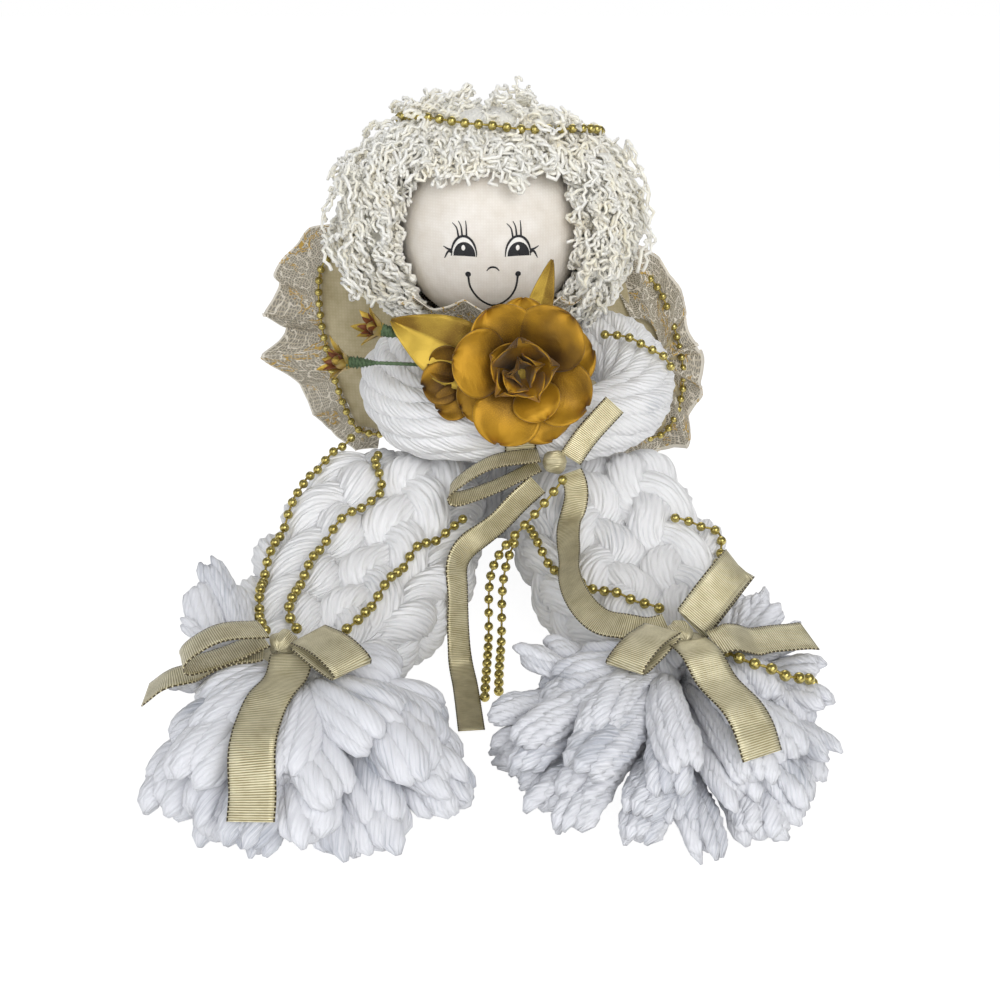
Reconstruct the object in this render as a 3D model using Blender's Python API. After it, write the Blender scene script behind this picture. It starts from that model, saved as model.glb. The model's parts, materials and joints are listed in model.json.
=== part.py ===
"""Seated yarn angel: a shelf-sitting rag doll with plaited yarn legs, wings and a satin rose.

Lengths are metres. +Z is up, the doll looks towards -Y, and the origin is the middle of the
flat seat under its body. Left means the viewer's left, which is -X.
"""

import math

import bmesh
import bpy
from mathutils import Matrix, Vector
from mathutils.bvhtree import BVHTree

GAP = 0.0004                 # air left between two pieces that touch on the real doll
CORD_SIDES = 8               # sides of a bead cord
CREASE = math.radians(40)    # edges sharper than this stay sharp, the rest are shaded smooth

# Body: a bundle of yarn, wider than deep, flat under the seat.
BODY_HALF_WIDTH = 0.045
BODY_BACK_Y = 0.040
BODY_BACK_EASE = 0.0007      # how far the rounded back falls away at the wing roots
BODY_TOP_Z = 0.110
NECK_HALF_WIDTH = 0.015

# Hips: each leg's rounded root turns about one line along X.
HIP_Y = -0.054
HIP_Z = 0.0335
HIP_RADIUS = 0.032
LEG_INNER_LEFT = -0.003
LEG_INNER_RIGHT = 0.008
LEG_ROOT_WIDTH = 0.082
LEG_POWER = 3.0              # how square the leg's oval section is
LEG_ROOT_POWER = 3.4         # the same for its root at the hip

# Head: a stuffed ball in a muslin cover, with a mop of boucle yarn hair.
HEAD_RADIUS = 0.044
NECK_FLAT = math.radians(80)
HAIR_THICK_SIDE = 0.022
HAIR_THICK_BACK = 0.008
HAIR_THICK_TOP = 0.0085
FACE_HALF_ANGLE = math.radians(64)
HAIRLINE = math.radians(40)
HAIR_LOW = math.radians(-42)
HAIR_BACK_ANGLE = math.radians(128)

# Arms: two thick yarn skeins that meet in a tie over the lap.
ARM_RADIUS = 0.016
TIE_X = 0.013
TIE_Y = -0.070
TIE_WIDTH = 0.013
TIE_RADIUS = 0.0135

# Lace collar: a frill that lies on the shoulders.
COLLAR_RADIUS = 0.045
COLLAR_INNER = 0.021
COLLAR_DROP = 0.008
FRILL_THICKNESS = 0.0012
FRILL_WAVES = 11

# Rose and what is tied in with it.
ROSE_RADIUS = 0.030
ROSE_X = 0.013
ROSE_Y = -0.086
ROSE_Z = 0.112
ROSE_TILT = math.radians(72.7)
ROSE_BASE_LENGTH = 0.005
STEM_RADIUS = 0.0015
LEAF_WIDTH = 0.026
SMALL_LEAF_WIDTH = 0.012
BUD_RADIUS = 0.0055
BUD_LENGTH = 0.016

# Wings: padded fabric panels with a lace ruffle.
WING_ROOT_X = 0.014
WING_ROOT_RADIUS = 0.004
WING_ROOT_LOW = 0.052
WING_ROOT_HIGH = 0.100
WING_HALF_THICKNESS = 0.0035
WING_SWEEP = 0.10

# Trim: bead garland, narrow chest ribbon and wide ankle ribbon.
BEAD_DIAMETER = 0.004
NARROW_RIBBON = 0.010
WIDE_RIBBON = 0.016
RIBBON_THICKNESS = 0.0008

# Feet: mop-like tassels beyond the ankle ties.
ANKLE_KNOT_LENGTH = 0.012
ANKLE_KNOT_RADIUS = 0.0052
CHEST_KNOT_LENGTH = 0.011
CHEST_KNOT_RADIUS = 0.0048
TIE_BAND_WIDTH = 0.012
TIE_BAND_THICKNESS = 0.0012
FOOT_HEIGHT = 0.038

HEAD_CENTRE = Vector((0.0, 0.0, BODY_TOP_Z + GAP + HEAD_RADIUS * math.sin(NECK_FLAT)))
WING_HINGE_Y = BODY_BACK_Y + WING_ROOT_RADIUS + GAP - BODY_BACK_EASE
HAND_Z = HIP_Z + HIP_RADIUS + GAP + ARM_RADIUS


def mm(*values):
    """Return a point given in millimetres as metres."""
    return Vector(values) * 0.001


def make_material(name, colour, roughness, metallic=0.0):
    """Return a plain material with one colour, roughness and metallic value."""
    material = bpy.data.materials.new(name)
    material.use_nodes = True
    shader = material.node_tree.nodes["Principled BSDF"]
    shader.inputs["Base Color"].default_value = (*colour, 1.0)
    shader.inputs["Roughness"].default_value = roughness
    shader.inputs["Metallic"].default_value = metallic
    return material


def hold(obj, material, parent):
    """Give an object its own copy of a material and hang it on its joint's empty."""
    own = material.copy()
    own.name = obj.name + "_finish"
    obj.data.materials.append(own)
    if parent is not None:
        obj.parent = parent
        obj.matrix_parent_inverse = Matrix.Translation(-parent.location)
    return obj


def closed_shape(vertices, faces):
    """Return a closed bmesh with its faces turned outwards."""
    shape = bmesh.new()
    corners = [shape.verts.new(v) for v in vertices]
    for face in faces:
        shape.faces.new([corners[k] for k in face])
    bmesh.ops.recalc_face_normals(shape, faces=shape.faces)
    if shape.calc_volume(signed=True) < 0.0:
        bmesh.ops.reverse_faces(shape, faces=shape.faces)
    return shape


def mesh_object(name, vertices, faces, material, parent=None):
    """Make one closed mesh object with its faces turned outwards."""
    mesh = bpy.data.meshes.new(name)
    shape = closed_shape(vertices, faces)
    shape.to_mesh(mesh)
    shape.free()
    mesh.shade_smooth()
    mesh.set_sharp_from_angle(angle=CREASE)
    obj = bpy.data.objects.new(name, mesh)
    bpy.context.scene.collection.objects.link(obj)
    return hold(obj, material, parent)


def bridge(rings, closed=False):
    """Return the vertices and faces of a skin over rings of points, capped at both ends."""
    count = len(rings[0])
    vertices = [point for ring in rings for point in ring]
    faces = []
    spans = len(rings) if closed else len(rings) - 1
    for row in range(spans):
        after = (row + 1) % len(rings)
        for k in range(count):
            step = (k + 1) % count
            faces.append((row * count + k, row * count + step, after * count + step, after * count + k))
    if not closed:
        faces.append(tuple(range(count)))
        faces.append(tuple(range((len(rings) - 1) * count, len(rings) * count)))
    return vertices, faces


def oval(centre, side, up, half_side, half_up, count, power=2.0):
    """Return a ring of points on a rounded oval in the plane of side and up."""
    ring = []
    for k in range(count):
        turn = 2.0 * math.pi * (k + 0.5) / count
        c, s = math.cos(turn), math.sin(turn)
        across = math.copysign(abs(c) ** (2.0 / power), c) * half_side
        above = math.copysign(abs(s) ** (2.0 / power), s) * half_up
        ring.append(centre + side * across + up * above)
    return ring


def smooth_path(points, count):
    """Return count points evenly spaced along a smooth curve through the given points."""
    ends = [points[0] * 2 - points[1]] + list(points) + [points[-1] * 2 - points[-2]]
    dense = []
    for k in range(1, len(ends) - 2):
        a, b, c, d = ends[k - 1:k + 3]
        for step in range(16):
            t = step / 16.0
            dense.append(0.5 * (b * 2 + (c - a) * t + (a * 2 - b * 5 + c * 4 - d) * t * t
                                + (b * 3 - a - c * 3 + d) * t * t * t))
    dense.append(points[-1].copy())
    along = [0.0]
    for a, b in zip(dense, dense[1:]):
        along.append(along[-1] + (b - a).length)
    path = []
    k = 0
    for n in range(count):
        want = along[-1] * n / (count - 1)
        while k < len(dense) - 2 and along[k + 1] < want:
            k += 1
        span = max(along[k + 1] - along[k], 1e-9)
        path.append(dense[k].lerp(dense[k + 1], (want - along[k]) / span))
    return path


def tangents(path):
    """Return the unit direction of a path at each of its points."""
    last = len(path) - 1
    return [(path[min(k + 1, last)] - path[max(k - 1, 0)]).normalized() for k in range(last + 1)]


def tube_rings(path, radii, count):
    """Return rings of points round a path, carried along it without twisting."""
    ahead = tangents(path)
    side = ahead[0].orthogonal().normalized()
    rings = []
    for point, direction, radius in zip(path, ahead, radii):
        side = (side - direction * side.dot(direction)).normalized()
        rings.append(oval(point, side, direction.cross(side), radius, radius, count))
    return rings


def tree_of(obj, depth=0.03):
    """Return a search tree over an object's shape, with how deep a point can lie inside it."""
    return BVHTree.FromObject(obj, bpy.context.evaluated_depsgraph_get()), depth


def push_out(point, trees, clearance):
    """Return the move that takes a point clear of the shapes in the trees."""
    move = Vector((0.0, 0.0, 0.0))
    for tree, depth in trees:
        found, normal, _, distance = tree.find_nearest(point + move)
        offset = point + move - found
        if offset.dot(normal) < 0.0 and distance < depth:
            move += found + normal * clearance - (point + move)
        elif distance < clearance:
            move += (offset.normalized() if distance > 1e-7 else normal) * (clearance - distance)
    return move


def settle(path, trees, clearance, floor=0.0):
    """Lay a path on the shapes in the trees: eased, then pushed clear, several times over."""
    laid = [p.copy() for p in path]
    for turn in range(12):
        if 0 < turn < 8:
            eased = [(laid[k - 1] + laid[k] * 2 + laid[k + 1]) / 4 for k in range(1, len(laid) - 1)]
            laid = [laid[0]] + eased + [laid[-1]]
        laid = [p + push_out(p, trees, clearance) for p in laid]
        for p in laid:
            p.z = max(p.z, floor + clearance)
    return laid


def cord(name, path, diameter, material, parent=None):
    """Make a cord as a round tube along a path and return it with its own search tree."""
    curve = bpy.data.curves.new(name, "CURVE")
    curve.dimensions = "3D"
    curve.bevel_depth = diameter / 2
    curve.bevel_resolution = 2
    curve.use_fill_caps = True
    spline = curve.splines.new("POLY")
    spline.points.add(len(path) - 1)
    for slot, point in zip(spline.points, path):
        slot.co = (*point, 1.0)
    obj = bpy.data.objects.new(name, curve)
    bpy.context.scene.collection.objects.link(obj)
    hold(obj, material, parent)
    shape = closed_shape(*bridge(tube_rings(path, [diameter / 2] * len(path), CORD_SIDES)))
    return BVHTree.FromBMesh(shape), diameter / 2


def strip_rings(path, across, width, thickness):
    """Return the four-cornered sections of a flat strip; across gives its width direction."""
    rings = []
    for point, direction, wide in zip(path, tangents(path), across):
        wide = (wide - direction * wide.dot(direction)).normalized() * (width / 2)
        thin = direction.cross(wide).normalized() * (thickness / 2)
        rings.append([point + wide + thin, point - wide + thin, point - wide - thin, point + wide - thin])
    return rings


def lay_strip(path, across, width, trees, clearance, floor=0.0):
    """Lift a flat strip's centre line until the whole width lies clear of the trees."""
    laid = [p.copy() for p in path]
    for turn in range(14):
        if 0 < turn < 9:
            eased = [(laid[k - 1] + laid[k] * 2 + laid[k + 1]) / 4 for k in range(1, len(laid) - 1)]
            laid = [laid[0]] + eased + [laid[-1]]
        for k, (point, direction) in enumerate(zip(laid, tangents(laid))):
            wide = (across[k] - direction * across[k].dot(direction)).normalized() * (width / 2)
            room = clearance if k else RIBBON_THICKNESS / 2 + GAP
            for share in (-1.0, -0.5, 0.0, 0.5, 1.0):
                laid[k] = laid[k] + push_out(laid[k] + wide * share, trees, room)
            laid[k].z = max(laid[k].z, floor + clearance + abs(wide.z))
    return laid


def ribbon(name, path, across, width, material, parent=None):
    """Make a ribbon as a thin flat strip and return its search tree."""
    rings = strip_rings(path, across, width, RIBBON_THICKNESS)
    mesh_object(name, *bridge(rings), material, parent)
    return BVHTree.FromBMesh(closed_shape(*bridge(rings))), RIBBON_THICKNESS / 2


def cut_by(obj, others, clearance, solver="EXACT"):
    """Cut an object back from its neighbours, each grown by the clearance first."""
    for other in others:
        mesh = bpy.data.meshes.new_from_object(
            other.evaluated_get(bpy.context.evaluated_depsgraph_get()))
        mesh.materials.clear()
        grown = [v.co + v.normal * clearance * 1.25 for v in mesh.vertices]
        for vertex, place in zip(mesh.vertices, grown):
            vertex.co = place
        cutter = bpy.data.objects.new(f"cut_{obj.name}_{other.name}", mesh)
        cutter.hide_render = True
        cutter.display_type = "WIRE"
        bpy.context.scene.collection.objects.link(cutter)
        modifier = obj.modifiers.new(cutter.name, "BOOLEAN")
        modifier.operation = "DIFFERENCE"
        modifier.solver = solver
        modifier.object = cutter
    bpy.context.view_layer.update()


def joint_empty(name, place):
    """Make the empty that stands on a joint's axis."""
    empty = bpy.data.objects.new(name, None)
    empty.location = place
    empty.empty_display_size = 0.02
    bpy.context.scene.collection.objects.link(empty)
    return empty


def build_body(yarn):
    """Make the yarn body, hollowed in front to seat the leg roots."""
    front = HIP_Y + HIP_RADIUS + GAP
    sections = (
        (0.0, front + 0.008, BODY_BACK_Y - 0.008, 0.86),
        (0.006, front + 0.002, BODY_BACK_Y - 0.003, 0.95),
        (HIP_Z, front, BODY_BACK_Y, 1.0),
        (HIP_Z + 0.018, front - 0.0045, BODY_BACK_Y, 1.0),
        (HIP_Z + 0.0325, front - 0.015, BODY_BACK_Y, 1.0),
        (0.085, -0.037, BODY_BACK_Y, 0.95),
        (0.098, -0.031, BODY_BACK_Y - 0.006, 0.76),
        (0.106, -0.022, BODY_BACK_Y - 0.016, 0.52),
        (BODY_TOP_Z, -NECK_HALF_WIDTH, NECK_HALF_WIDTH, NECK_HALF_WIDTH / BODY_HALF_WIDTH),
    )
    rings = []
    for z, low_y, high_y, share in sections:
        centre = Vector((0.0, (low_y + high_y) / 2, z))
        rings.append(oval(centre, Vector((1, 0, 0)), Vector((0, 1, 0)),
                          BODY_HALF_WIDTH * share, (high_y - low_y) / 2, 24, 2.6))
    return mesh_object("body_bundle", *bridge(rings), yarn)


def leg_sections(side, stations):
    """Return a leg's oval sections: a round root about the hip line, then its stations."""
    rings = []
    inner = LEG_INNER_LEFT if side < 0 else LEG_INNER_RIGHT
    root_x = inner + side * LEG_ROOT_WIDTH / 2
    across, up = Vector((1, 0, 0)), Vector((0, 0, 1))
    for degrees, share in ((8, 0.84), (25, 0.93), (45, 0.98), (68, 1.0), (90, 1.0)):
        turn = math.radians(degrees)
        centre = Vector((root_x, HIP_Y + HIP_RADIUS * math.cos(turn), HIP_Z))
        half_up = HIP_RADIUS * math.sin(turn)
        rings.append(oval(centre, across, up, LEG_ROOT_WIDTH / 2 * share, half_up, 20, LEG_ROOT_POWER))
    for y, x, half_width, low, high in stations:
        centre = mm(x, y, (low + high) / 2)
        rings.append(oval(centre, across, up, half_width / 1000, (high - low) / 2000, 20, LEG_POWER))
    return rings


def build_leg(name, side, stations, yarn, parent):
    """Make one plaited leg as a flat tapering bundle with the bulges of its plait."""
    return mesh_object(name, *bridge(leg_sections(side, stations)), yarn, parent)


def build_ankle_tie(name, station, material, parent):
    """Make the ribbon band that is wound round an ankle."""
    y, x, half_width, low, high = station
    centre = mm(x, y, (low + high) / 2)
    rings = []
    for radius_step, offset in ((0, -1), (1, -1), (1, 1), (0, 1)):
        grow = GAP + radius_step * TIE_BAND_THICKNESS
        place = centre + Vector((0, offset * TIE_BAND_WIDTH / 2, 0))
        rings.append(oval(place, Vector((1, 0, 0)), Vector((0, 0, 1)), half_width / 1000 + grow,
                          (high - low) / 2000 + grow, 20, LEG_POWER))
    return mesh_object(name, *bridge(rings, closed=True), material, parent)


def build_foot(name, x, y, half_x, half_y, lobes, yarn, parent):
    """Make a mop-like yarn foot: a low dome with a lobed rim, flat below."""
    dome = ((0.9, 0.0), (1.0, 0.07), (0.99, 0.25), (0.9, 0.5), (0.7, 0.76), (0.4, 0.94), (0.12, 1.0))
    rings = []
    for share, z_share in dome:
        ring = []
        for k in range(32):
            turn = 2.0 * math.pi * (k + 0.37) / 32
            lobe = 1.0 + 0.045 * math.sin(lobes * turn + 0.7) * min(1.0, share * share + 0.2)
            ring.append(Vector((x / 1000 + half_x / 1000 * share * lobe * math.cos(turn),
                                y / 1000 + half_y / 1000 * share * lobe * math.sin(turn),
                                GAP + FOOT_HEIGHT * z_share)))
        rings.append(ring)
    return mesh_object(name, *bridge(rings), yarn, parent)


def build_arm(name, points, yarn):
    """Make one arm as a thick bent skein of yarn."""
    path = smooth_path([mm(*p) for p in points], 15)
    radii = [ARM_RADIUS * (0.82 + 0.18 * math.sin(math.pi * min(1.0, 0.12 + k / 16))) for k in range(15)]
    return mesh_object(name, *bridge(tube_rings(path, radii, 14)), yarn)


def build_drum(name, start, end, radius, count, material, parent=None):
    """Make a round bar with slightly eased ends between two points."""
    axis = (end - start).normalized()
    ease = min(radius * 0.25, (end - start).length * 0.2)
    path = [start, start + axis * ease, end - axis * ease, end]
    rings = tube_rings(path, [radius - ease, radius, radius, radius - ease], count)
    return mesh_object(name, *bridge(rings), material, parent)


def build_collar(lace):
    """Make the lace collar as a waved frill that slopes from the neck to the shoulders."""
    rings = []
    count = FRILL_WAVES * 4
    for k in range(count):
        turn = 2.0 * math.pi * k / count
        out = Vector((math.cos(turn), 0.92 * math.sin(turn), 0.0))
        wave = 0.0022 * math.sin(FRILL_WAVES * turn)
        inner = out * COLLAR_INNER + Vector((0, 0, BODY_TOP_Z + 0.003))
        middle = out * (COLLAR_INNER + COLLAR_RADIUS) / 2
        middle += Vector((0, 0, BODY_TOP_Z + 0.003 - COLLAR_DROP * 0.3 + wave * 0.4))
        outer = out * COLLAR_RADIUS + Vector((0, 0, BODY_TOP_Z + 0.003 - COLLAR_DROP + wave))
        lift = Vector((0, 0, FRILL_THICKNESS / 2))
        rings.append([inner + lift, middle + lift, outer + lift, outer - lift, middle - lift, inner - lift])
    return mesh_object("lace_collar", *bridge(rings, closed=True), lace)


def ball_point(turn, rise, radius):
    """Return a point on the head at an angle round from the front and a rise."""
    flat = math.cos(rise) * radius
    return HEAD_CENTRE + Vector((flat * math.sin(turn), -flat * math.cos(turn), math.sin(rise) * radius))


def build_head(muslin, parent):
    """Make the stuffed head: a muslin ball, gathered to a small flat under the chin."""
    rises = [-NECK_FLAT + (math.radians(84) + NECK_FLAT) * k / 13 for k in range(14)]
    turns = [2.0 * math.pi * k / 24 for k in range(24)]
    rings = [[ball_point(t, r, HEAD_RADIUS) for t in turns] for r in rises]
    mesh_object("head_ball", *bridge(rings), muslin, parent)


def hair_radius(turn, rise):
    """Return how far the hair stands from the head's centre in one direction."""
    sideways = abs(math.sin(turn)) * math.cos(rise)
    behind = max(0.0, -math.cos(turn)) * math.cos(rise)
    above = max(0.0, math.sin(rise))
    thick = HAIR_THICK_SIDE * sideways ** 2 + HAIR_THICK_BACK * behind ** 2 + HAIR_THICK_TOP * above ** 2
    lumps = 0.0016 * math.sin(9 * turn + 4 * rise) + 0.0012 * math.sin(15 * turn - 7 * rise + 1)
    return HEAD_RADIUS + max(thick, 0.006) + lumps * min(1.0, 1.3 - above)


def build_hair_panel(name, turn_from, turn_to, rise_from, rise_to, columns, rows, yarn, parent):
    """Make one panel of hair: a thick lumpy shell over part of the head."""
    inner, outer = [], []
    for row in range(rows + 1):
        rise = rise_from + (rise_to - rise_from) * row / rows
        for column in range(columns + 1):
            turn = turn_from + (turn_to - turn_from) * column / columns
            inner.append(ball_point(turn, rise, HEAD_RADIUS + GAP))
            outer.append(ball_point(turn, rise, hair_radius(turn, rise)))
    vertices = inner + outer
    wide, shift = columns + 1, len(inner)
    faces = []
    for row in range(rows):
        for column in range(columns):
            a = row * wide + column
            faces.append((a, a + 1, a + wide + 1, a + wide))
            faces.append((shift + a, shift + a + wide, shift + a + wide + 1, shift + a + 1))
    edge = [k for k in range(wide)]
    edge += [row * wide + columns for row in range(1, rows + 1)]
    edge += [rows * wide + k for k in range(columns - 1, -1, -1)]
    edge += [row * wide for row in range(rows - 1, 0, -1)]
    for a, b in zip(edge, edge[1:] + edge[:1]):
        faces.append((a, b, shift + b, shift + a))
    return mesh_object(name, vertices, faces, yarn, parent)


def build_hair_crown(yarn, parent):
    """Make the cap of hair over the top of the head."""
    low = HAIRLINE + GAP / HEAD_RADIUS
    rises = [low + (math.radians(82) - low) * k / 5 for k in range(6)]
    turns = [2.0 * math.pi * k / 28 for k in range(28)]
    rings = [[ball_point(t, r, HEAD_RADIUS + GAP) for t in turns] for r in reversed(rises)]
    rings += [[ball_point(t, r, hair_radius(t, r)) for t in turns] for r in rises]
    return mesh_object("hair_crown", *bridge(rings), yarn, parent)


def build_hair(yarn, parent):
    """Make the four panels of the mop of hair."""
    step = GAP / HEAD_RADIUS
    build_hair_crown(yarn, parent)
    top = HAIRLINE - step
    side_end = HAIR_BACK_ANGLE - step
    build_hair_panel("hair_right", FACE_HALF_ANGLE, side_end, HAIR_LOW, top, 7, 7, yarn, parent)
    build_hair_panel("hair_left", -side_end, -FACE_HALF_ANGLE, HAIR_LOW, top, 7, 7, yarn, parent)
    build_hair_panel("hair_back", HAIR_BACK_ANGLE + step, 2 * math.pi - HAIR_BACK_ANGLE - step,
                     HAIR_LOW, top, 10, 7, yarn, parent)


def rose_frame():
    """Return the matrix that stands the rose's own axis up towards the viewer."""
    place = Matrix.Translation(Vector((ROSE_X, ROSE_Y, ROSE_Z)))
    return place @ Matrix.Rotation(ROSE_TILT, 4, "X")


def lobed_cup(name, profile, lobes, depth, phase, material):
    """Make a cup of petals: a turned profile whose rim goes in and out in lobes."""
    frame = rose_frame()
    rings = []
    count = lobes * 6
    for radius, height, strength in profile:
        ring = []
        for k in range(count):
            turn = 2.0 * math.pi * k / count
            lobe = abs(math.sin(lobes * turn / 2 + phase))
            reach = radius * (1.0 - depth * strength * (1.0 - lobe))
            ring.append(frame @ Vector((reach * math.cos(turn), reach * math.sin(turn), height)))
        rings.append(ring)
    return mesh_object(name, *bridge(rings), material)


def build_rose(satin, green):
    """Make the rose: nested cups of petals on a round base with a short stem."""
    r = ROSE_RADIUS
    wall = 0.0016
    outer = ((r * 0.30, -0.0095, 0), (r * 0.62, -0.0085, 0.3), (r * 0.90, -0.004, 0.8), (r, 0.0025, 1),
             (r * 0.99, 0.0025 + wall, 1), (r * 0.86, -0.004 + wall, 0.8), (r * 0.58, -0.0085 + wall, 0.3),
             (r * 0.26, -0.0095 + wall, 0))
    lobed_cup("rose_outer_petals", outer, 6, 0.20, 0.0, satin)
    floor = -0.0095 + wall + GAP
    middle = ((r * 0.28, floor, 0), (r * 0.50, floor + 0.002, 0.3), (r * 0.70, floor + 0.008, 0.8),
              (r * 0.74, floor + 0.0145, 1), (r * 0.70, floor + 0.0145, 1),
              (r * 0.64, floor + 0.008 + wall, 0.8), (r * 0.44, floor + 0.002 + wall, 0.3),
              (r * 0.22, floor + wall, 0))
    lobed_cup("rose_middle_petals", middle, 5, 0.16, 0.6, satin)
    floor += wall + GAP
    heart = ((r * 0.20, floor, 0), (r * 0.34, floor + 0.004, 0.5), (r * 0.42, floor + 0.011, 1),
             (r * 0.36, floor + 0.0165, 1), (r * 0.16, floor + 0.0185, 0.5))
    lobed_cup("rose_heart_petals", heart, 3, 0.18, 0.3, satin)
    frame = rose_frame()
    back = -0.0095 - GAP
    base_end = back - ROSE_BASE_LENGTH
    build_drum("rose_base", frame @ Vector((0, 0, back)), frame @ Vector((0, 0, base_end)), r * 0.28, 16, satin)
    foot = frame @ Vector((0, 0, base_end - GAP))
    bend = frame @ Vector((0, -0.001, base_end - 0.004))
    tie_top = Vector((foot.x, TIE_Y, HAND_Z + TIE_RADIUS + GAP))
    stem = smooth_path([foot, bend, Vector((tie_top.x, tie_top.y, tie_top.z + 0.005)), tie_top], 9)
    mesh_object("rose_stem", *bridge(tube_rings(stem, [STEM_RADIUS] * 9, 8)), green)


def build_leaf(name, root, tip, width, facing, material):
    """Make a pointed satin leaf that is folded a little along its middle."""
    along = tip - root
    across = along.cross(facing).normalized()
    face = across.cross(along).normalized()
    rings = []
    for share, wide in ((0.0, 0.14), (0.15, 0.55), (0.38, 1.0), (0.62, 0.86), (0.85, 0.42), (1.0, 0.06)):
        middle = root + along * share + face * 0.0016 * math.sin(math.pi * share)
        reach = across * (width / 2 * wide)
        fold = face * (0.0020 * wide)
        thin = face * 0.0005
        rings.append([middle + reach + fold + thin, middle + thin, middle - reach + fold + thin,
                      middle - reach + fold - thin, middle - thin, middle + reach + fold - thin])
    return mesh_object(name, *bridge(rings), material)


def build_bud(name, base, tip_direction, satin):
    """Make a small satin bud, egg-shaped along its stem."""
    axis = tip_direction.normalized()
    path = [base + axis * BUD_LENGTH * share for share in (0.0, 0.12, 0.35, 0.6, 0.82, 0.96, 1.0)]
    radii = [BUD_RADIUS * share for share in (0.35, 0.72, 1.0, 0.95, 0.68, 0.3, 0.1)]
    return mesh_object(name, *bridge(tube_rings(path, radii, 10)), satin)


def wing_y(x):
    """Return how far back a wing stands at a distance from the middle."""
    return WING_HINGE_Y + WING_SWEEP * max(0.0, abs(x) - WING_ROOT_X)


def build_wing_panel(name, outline, fabric, parent):
    """Make a padded wing panel: an outline with a pillow-like crown on both sides."""
    middle = Vector((sum(p[0] for p in outline) / len(outline), sum(p[1] for p in outline) / len(outline)))
    points = [Vector(p) for p in outline]
    levels = ((0.35, 1.0), (0.7, 0.86), (0.92, 0.5), (1.0, 0.16))
    layers = list(levels) + [(share, -thick) for share, thick in reversed(levels)]
    rings = []
    for share, thick in layers:
        ring = []
        for p in points:
            at = (middle + (p - middle) * share) / 1000
            ring.append(Vector((at.x, wing_y(at.x) - WING_HALF_THICKNESS * thick, at.y)))
        rings.append(ring)
    return mesh_object(name, *bridge(rings), fabric, parent)


def build_ruffle(name, inner, outer, waves, lace, parent):
    """Make a lace ruffle between an inner and an outer line, waved to and fro."""
    count = waves * 4 + 1
    near = smooth_path([mm(x, 0, z) for x, z in inner], count)
    far = smooth_path([mm(x, 0, z) for x, z in outer], count)
    rings = []
    for k in range(count):
        wave = math.sin(2.0 * math.pi * waves * k / (count - 1))
        a = near[k] + (far[k] - near[k]).normalized() * GAP
        b = near[k].lerp(far[k], 0.55)
        c = near[k].lerp(far[k], 1.0 + 0.05 * wave)
        row = []
        for point, reach in ((a, 0.0), (b, 0.0020), (c, 0.0035)):
            row.append(Vector((point.x, wing_y(point.x) + reach * wave, point.z)))
        thin = Vector((0, FRILL_THICKNESS / 2, 0))
        rings.append([p - thin for p in row] + [p + thin for p in reversed(row)])
    return mesh_object(name, *bridge(rings), lace, parent)


WING_INNER = 1000 * (WING_ROOT_X + WING_ROOT_RADIUS + GAP)
LEFT_WING = ((-WING_INNER, 64), (-WING_INNER, 94), (-34, 116), (-54, 130), (-72, 135), (-84, 128), (-88, 114),
             (-87, 90), (-82, 64), (-73, 40), (-58, 36), (-38, 46))
RIGHT_WING = ((WING_INNER, 64), (WING_INNER, 94), (34, 114), (52, 124), (70, 126), (84, 116), (93, 98),
              (100, 76), (101, 56), (93, 36), (72, 32), (42, 44))
LEFT_LACE = ((-50, 144), (-72, 152), (-94, 146), (-112, 126), (-118, 104), (-117, 82), (-106, 56), (-86, 31),
             (-62, 26))
RIGHT_LACE = ((50, 136), (74, 138), (96, 124), (108, 104), (114, 82), (114, 56), (106, 30), (84, 22),
              (70, 22))


def build_wings(fabric, lace, beads, left, right):
    """Make both wings: a rolled root, the padded panel, the ruffle and the bead edge."""
    for side, word, outline, edge, parent in ((-1, "left", LEFT_WING, LEFT_LACE, left),
                                              (1, "right", RIGHT_WING, RIGHT_LACE, right)):
        low = Vector((side * WING_ROOT_X, WING_HINGE_Y, WING_ROOT_LOW))
        high = Vector((side * WING_ROOT_X, WING_HINGE_Y, WING_ROOT_HIGH))
        build_drum(f"wing_root_{word}", low, high, WING_ROOT_RADIUS, 12, fabric, parent)
        build_wing_panel(f"wing_panel_{word}", outline, fabric, parent)
        build_ruffle(f"wing_lace_{word}", outline[3:11], edge, 9, lace, parent)
        rim = [mm(x, 0, z) for x, z in outline[3:11]]
        stand = FRILL_THICKNESS / 2 + BEAD_DIAMETER / 2 + GAP
        path = [Vector((p.x, wing_y(p.x) - stand, p.z)) for p in smooth_path(rim, 22)]
        cord(f"wing_beads_{word}", path, BEAD_DIAMETER, beads, parent)


LEFT_LEG = ((-75, -49, 44, 1, 60), (-95, -53, 46, 0.6, 52), (-112, -57, 43, 0.6, 46),
            (-128, -60, 41, 0.6, 44), (-145, -62, 34, 0.6, 42), (-160, -65, 25, 2, 40),
            (-169, -66, 17.5, 5, 37), (-190, -66, 17.5, 5, 37))
RIGHT_LEG = ((-75, 54, 42, 1, 60), (-92, 59, 43, 0.6, 52), (-108, 61, 41, 0.6, 46),
             (-124, 63, 39, 0.6, 44), (-138, 65, 33, 0.6, 42), (-152, 66, 25, 2, 40),
             (-161, 66, 17.5, 5, 37), (-182, 66, 17.5, 5, 37))
LEFT_TIE = (-176, -66, 17.5, 5, 37)
RIGHT_TIE = (-168, 66, 17.5, 5, 37)
LEFT_ARM = ((-26, 8, 88), (-37, -8, 95), (-42, -32, 90), (-32, -56, 83), (-12, -68, 82), (6, -70, 82))
RIGHT_ARM = ((30, 8, 90), (50, -4, 100), (65, -26, 96), (62, -52, 86), (40, -67, 82), (20, -70, 82))


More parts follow.
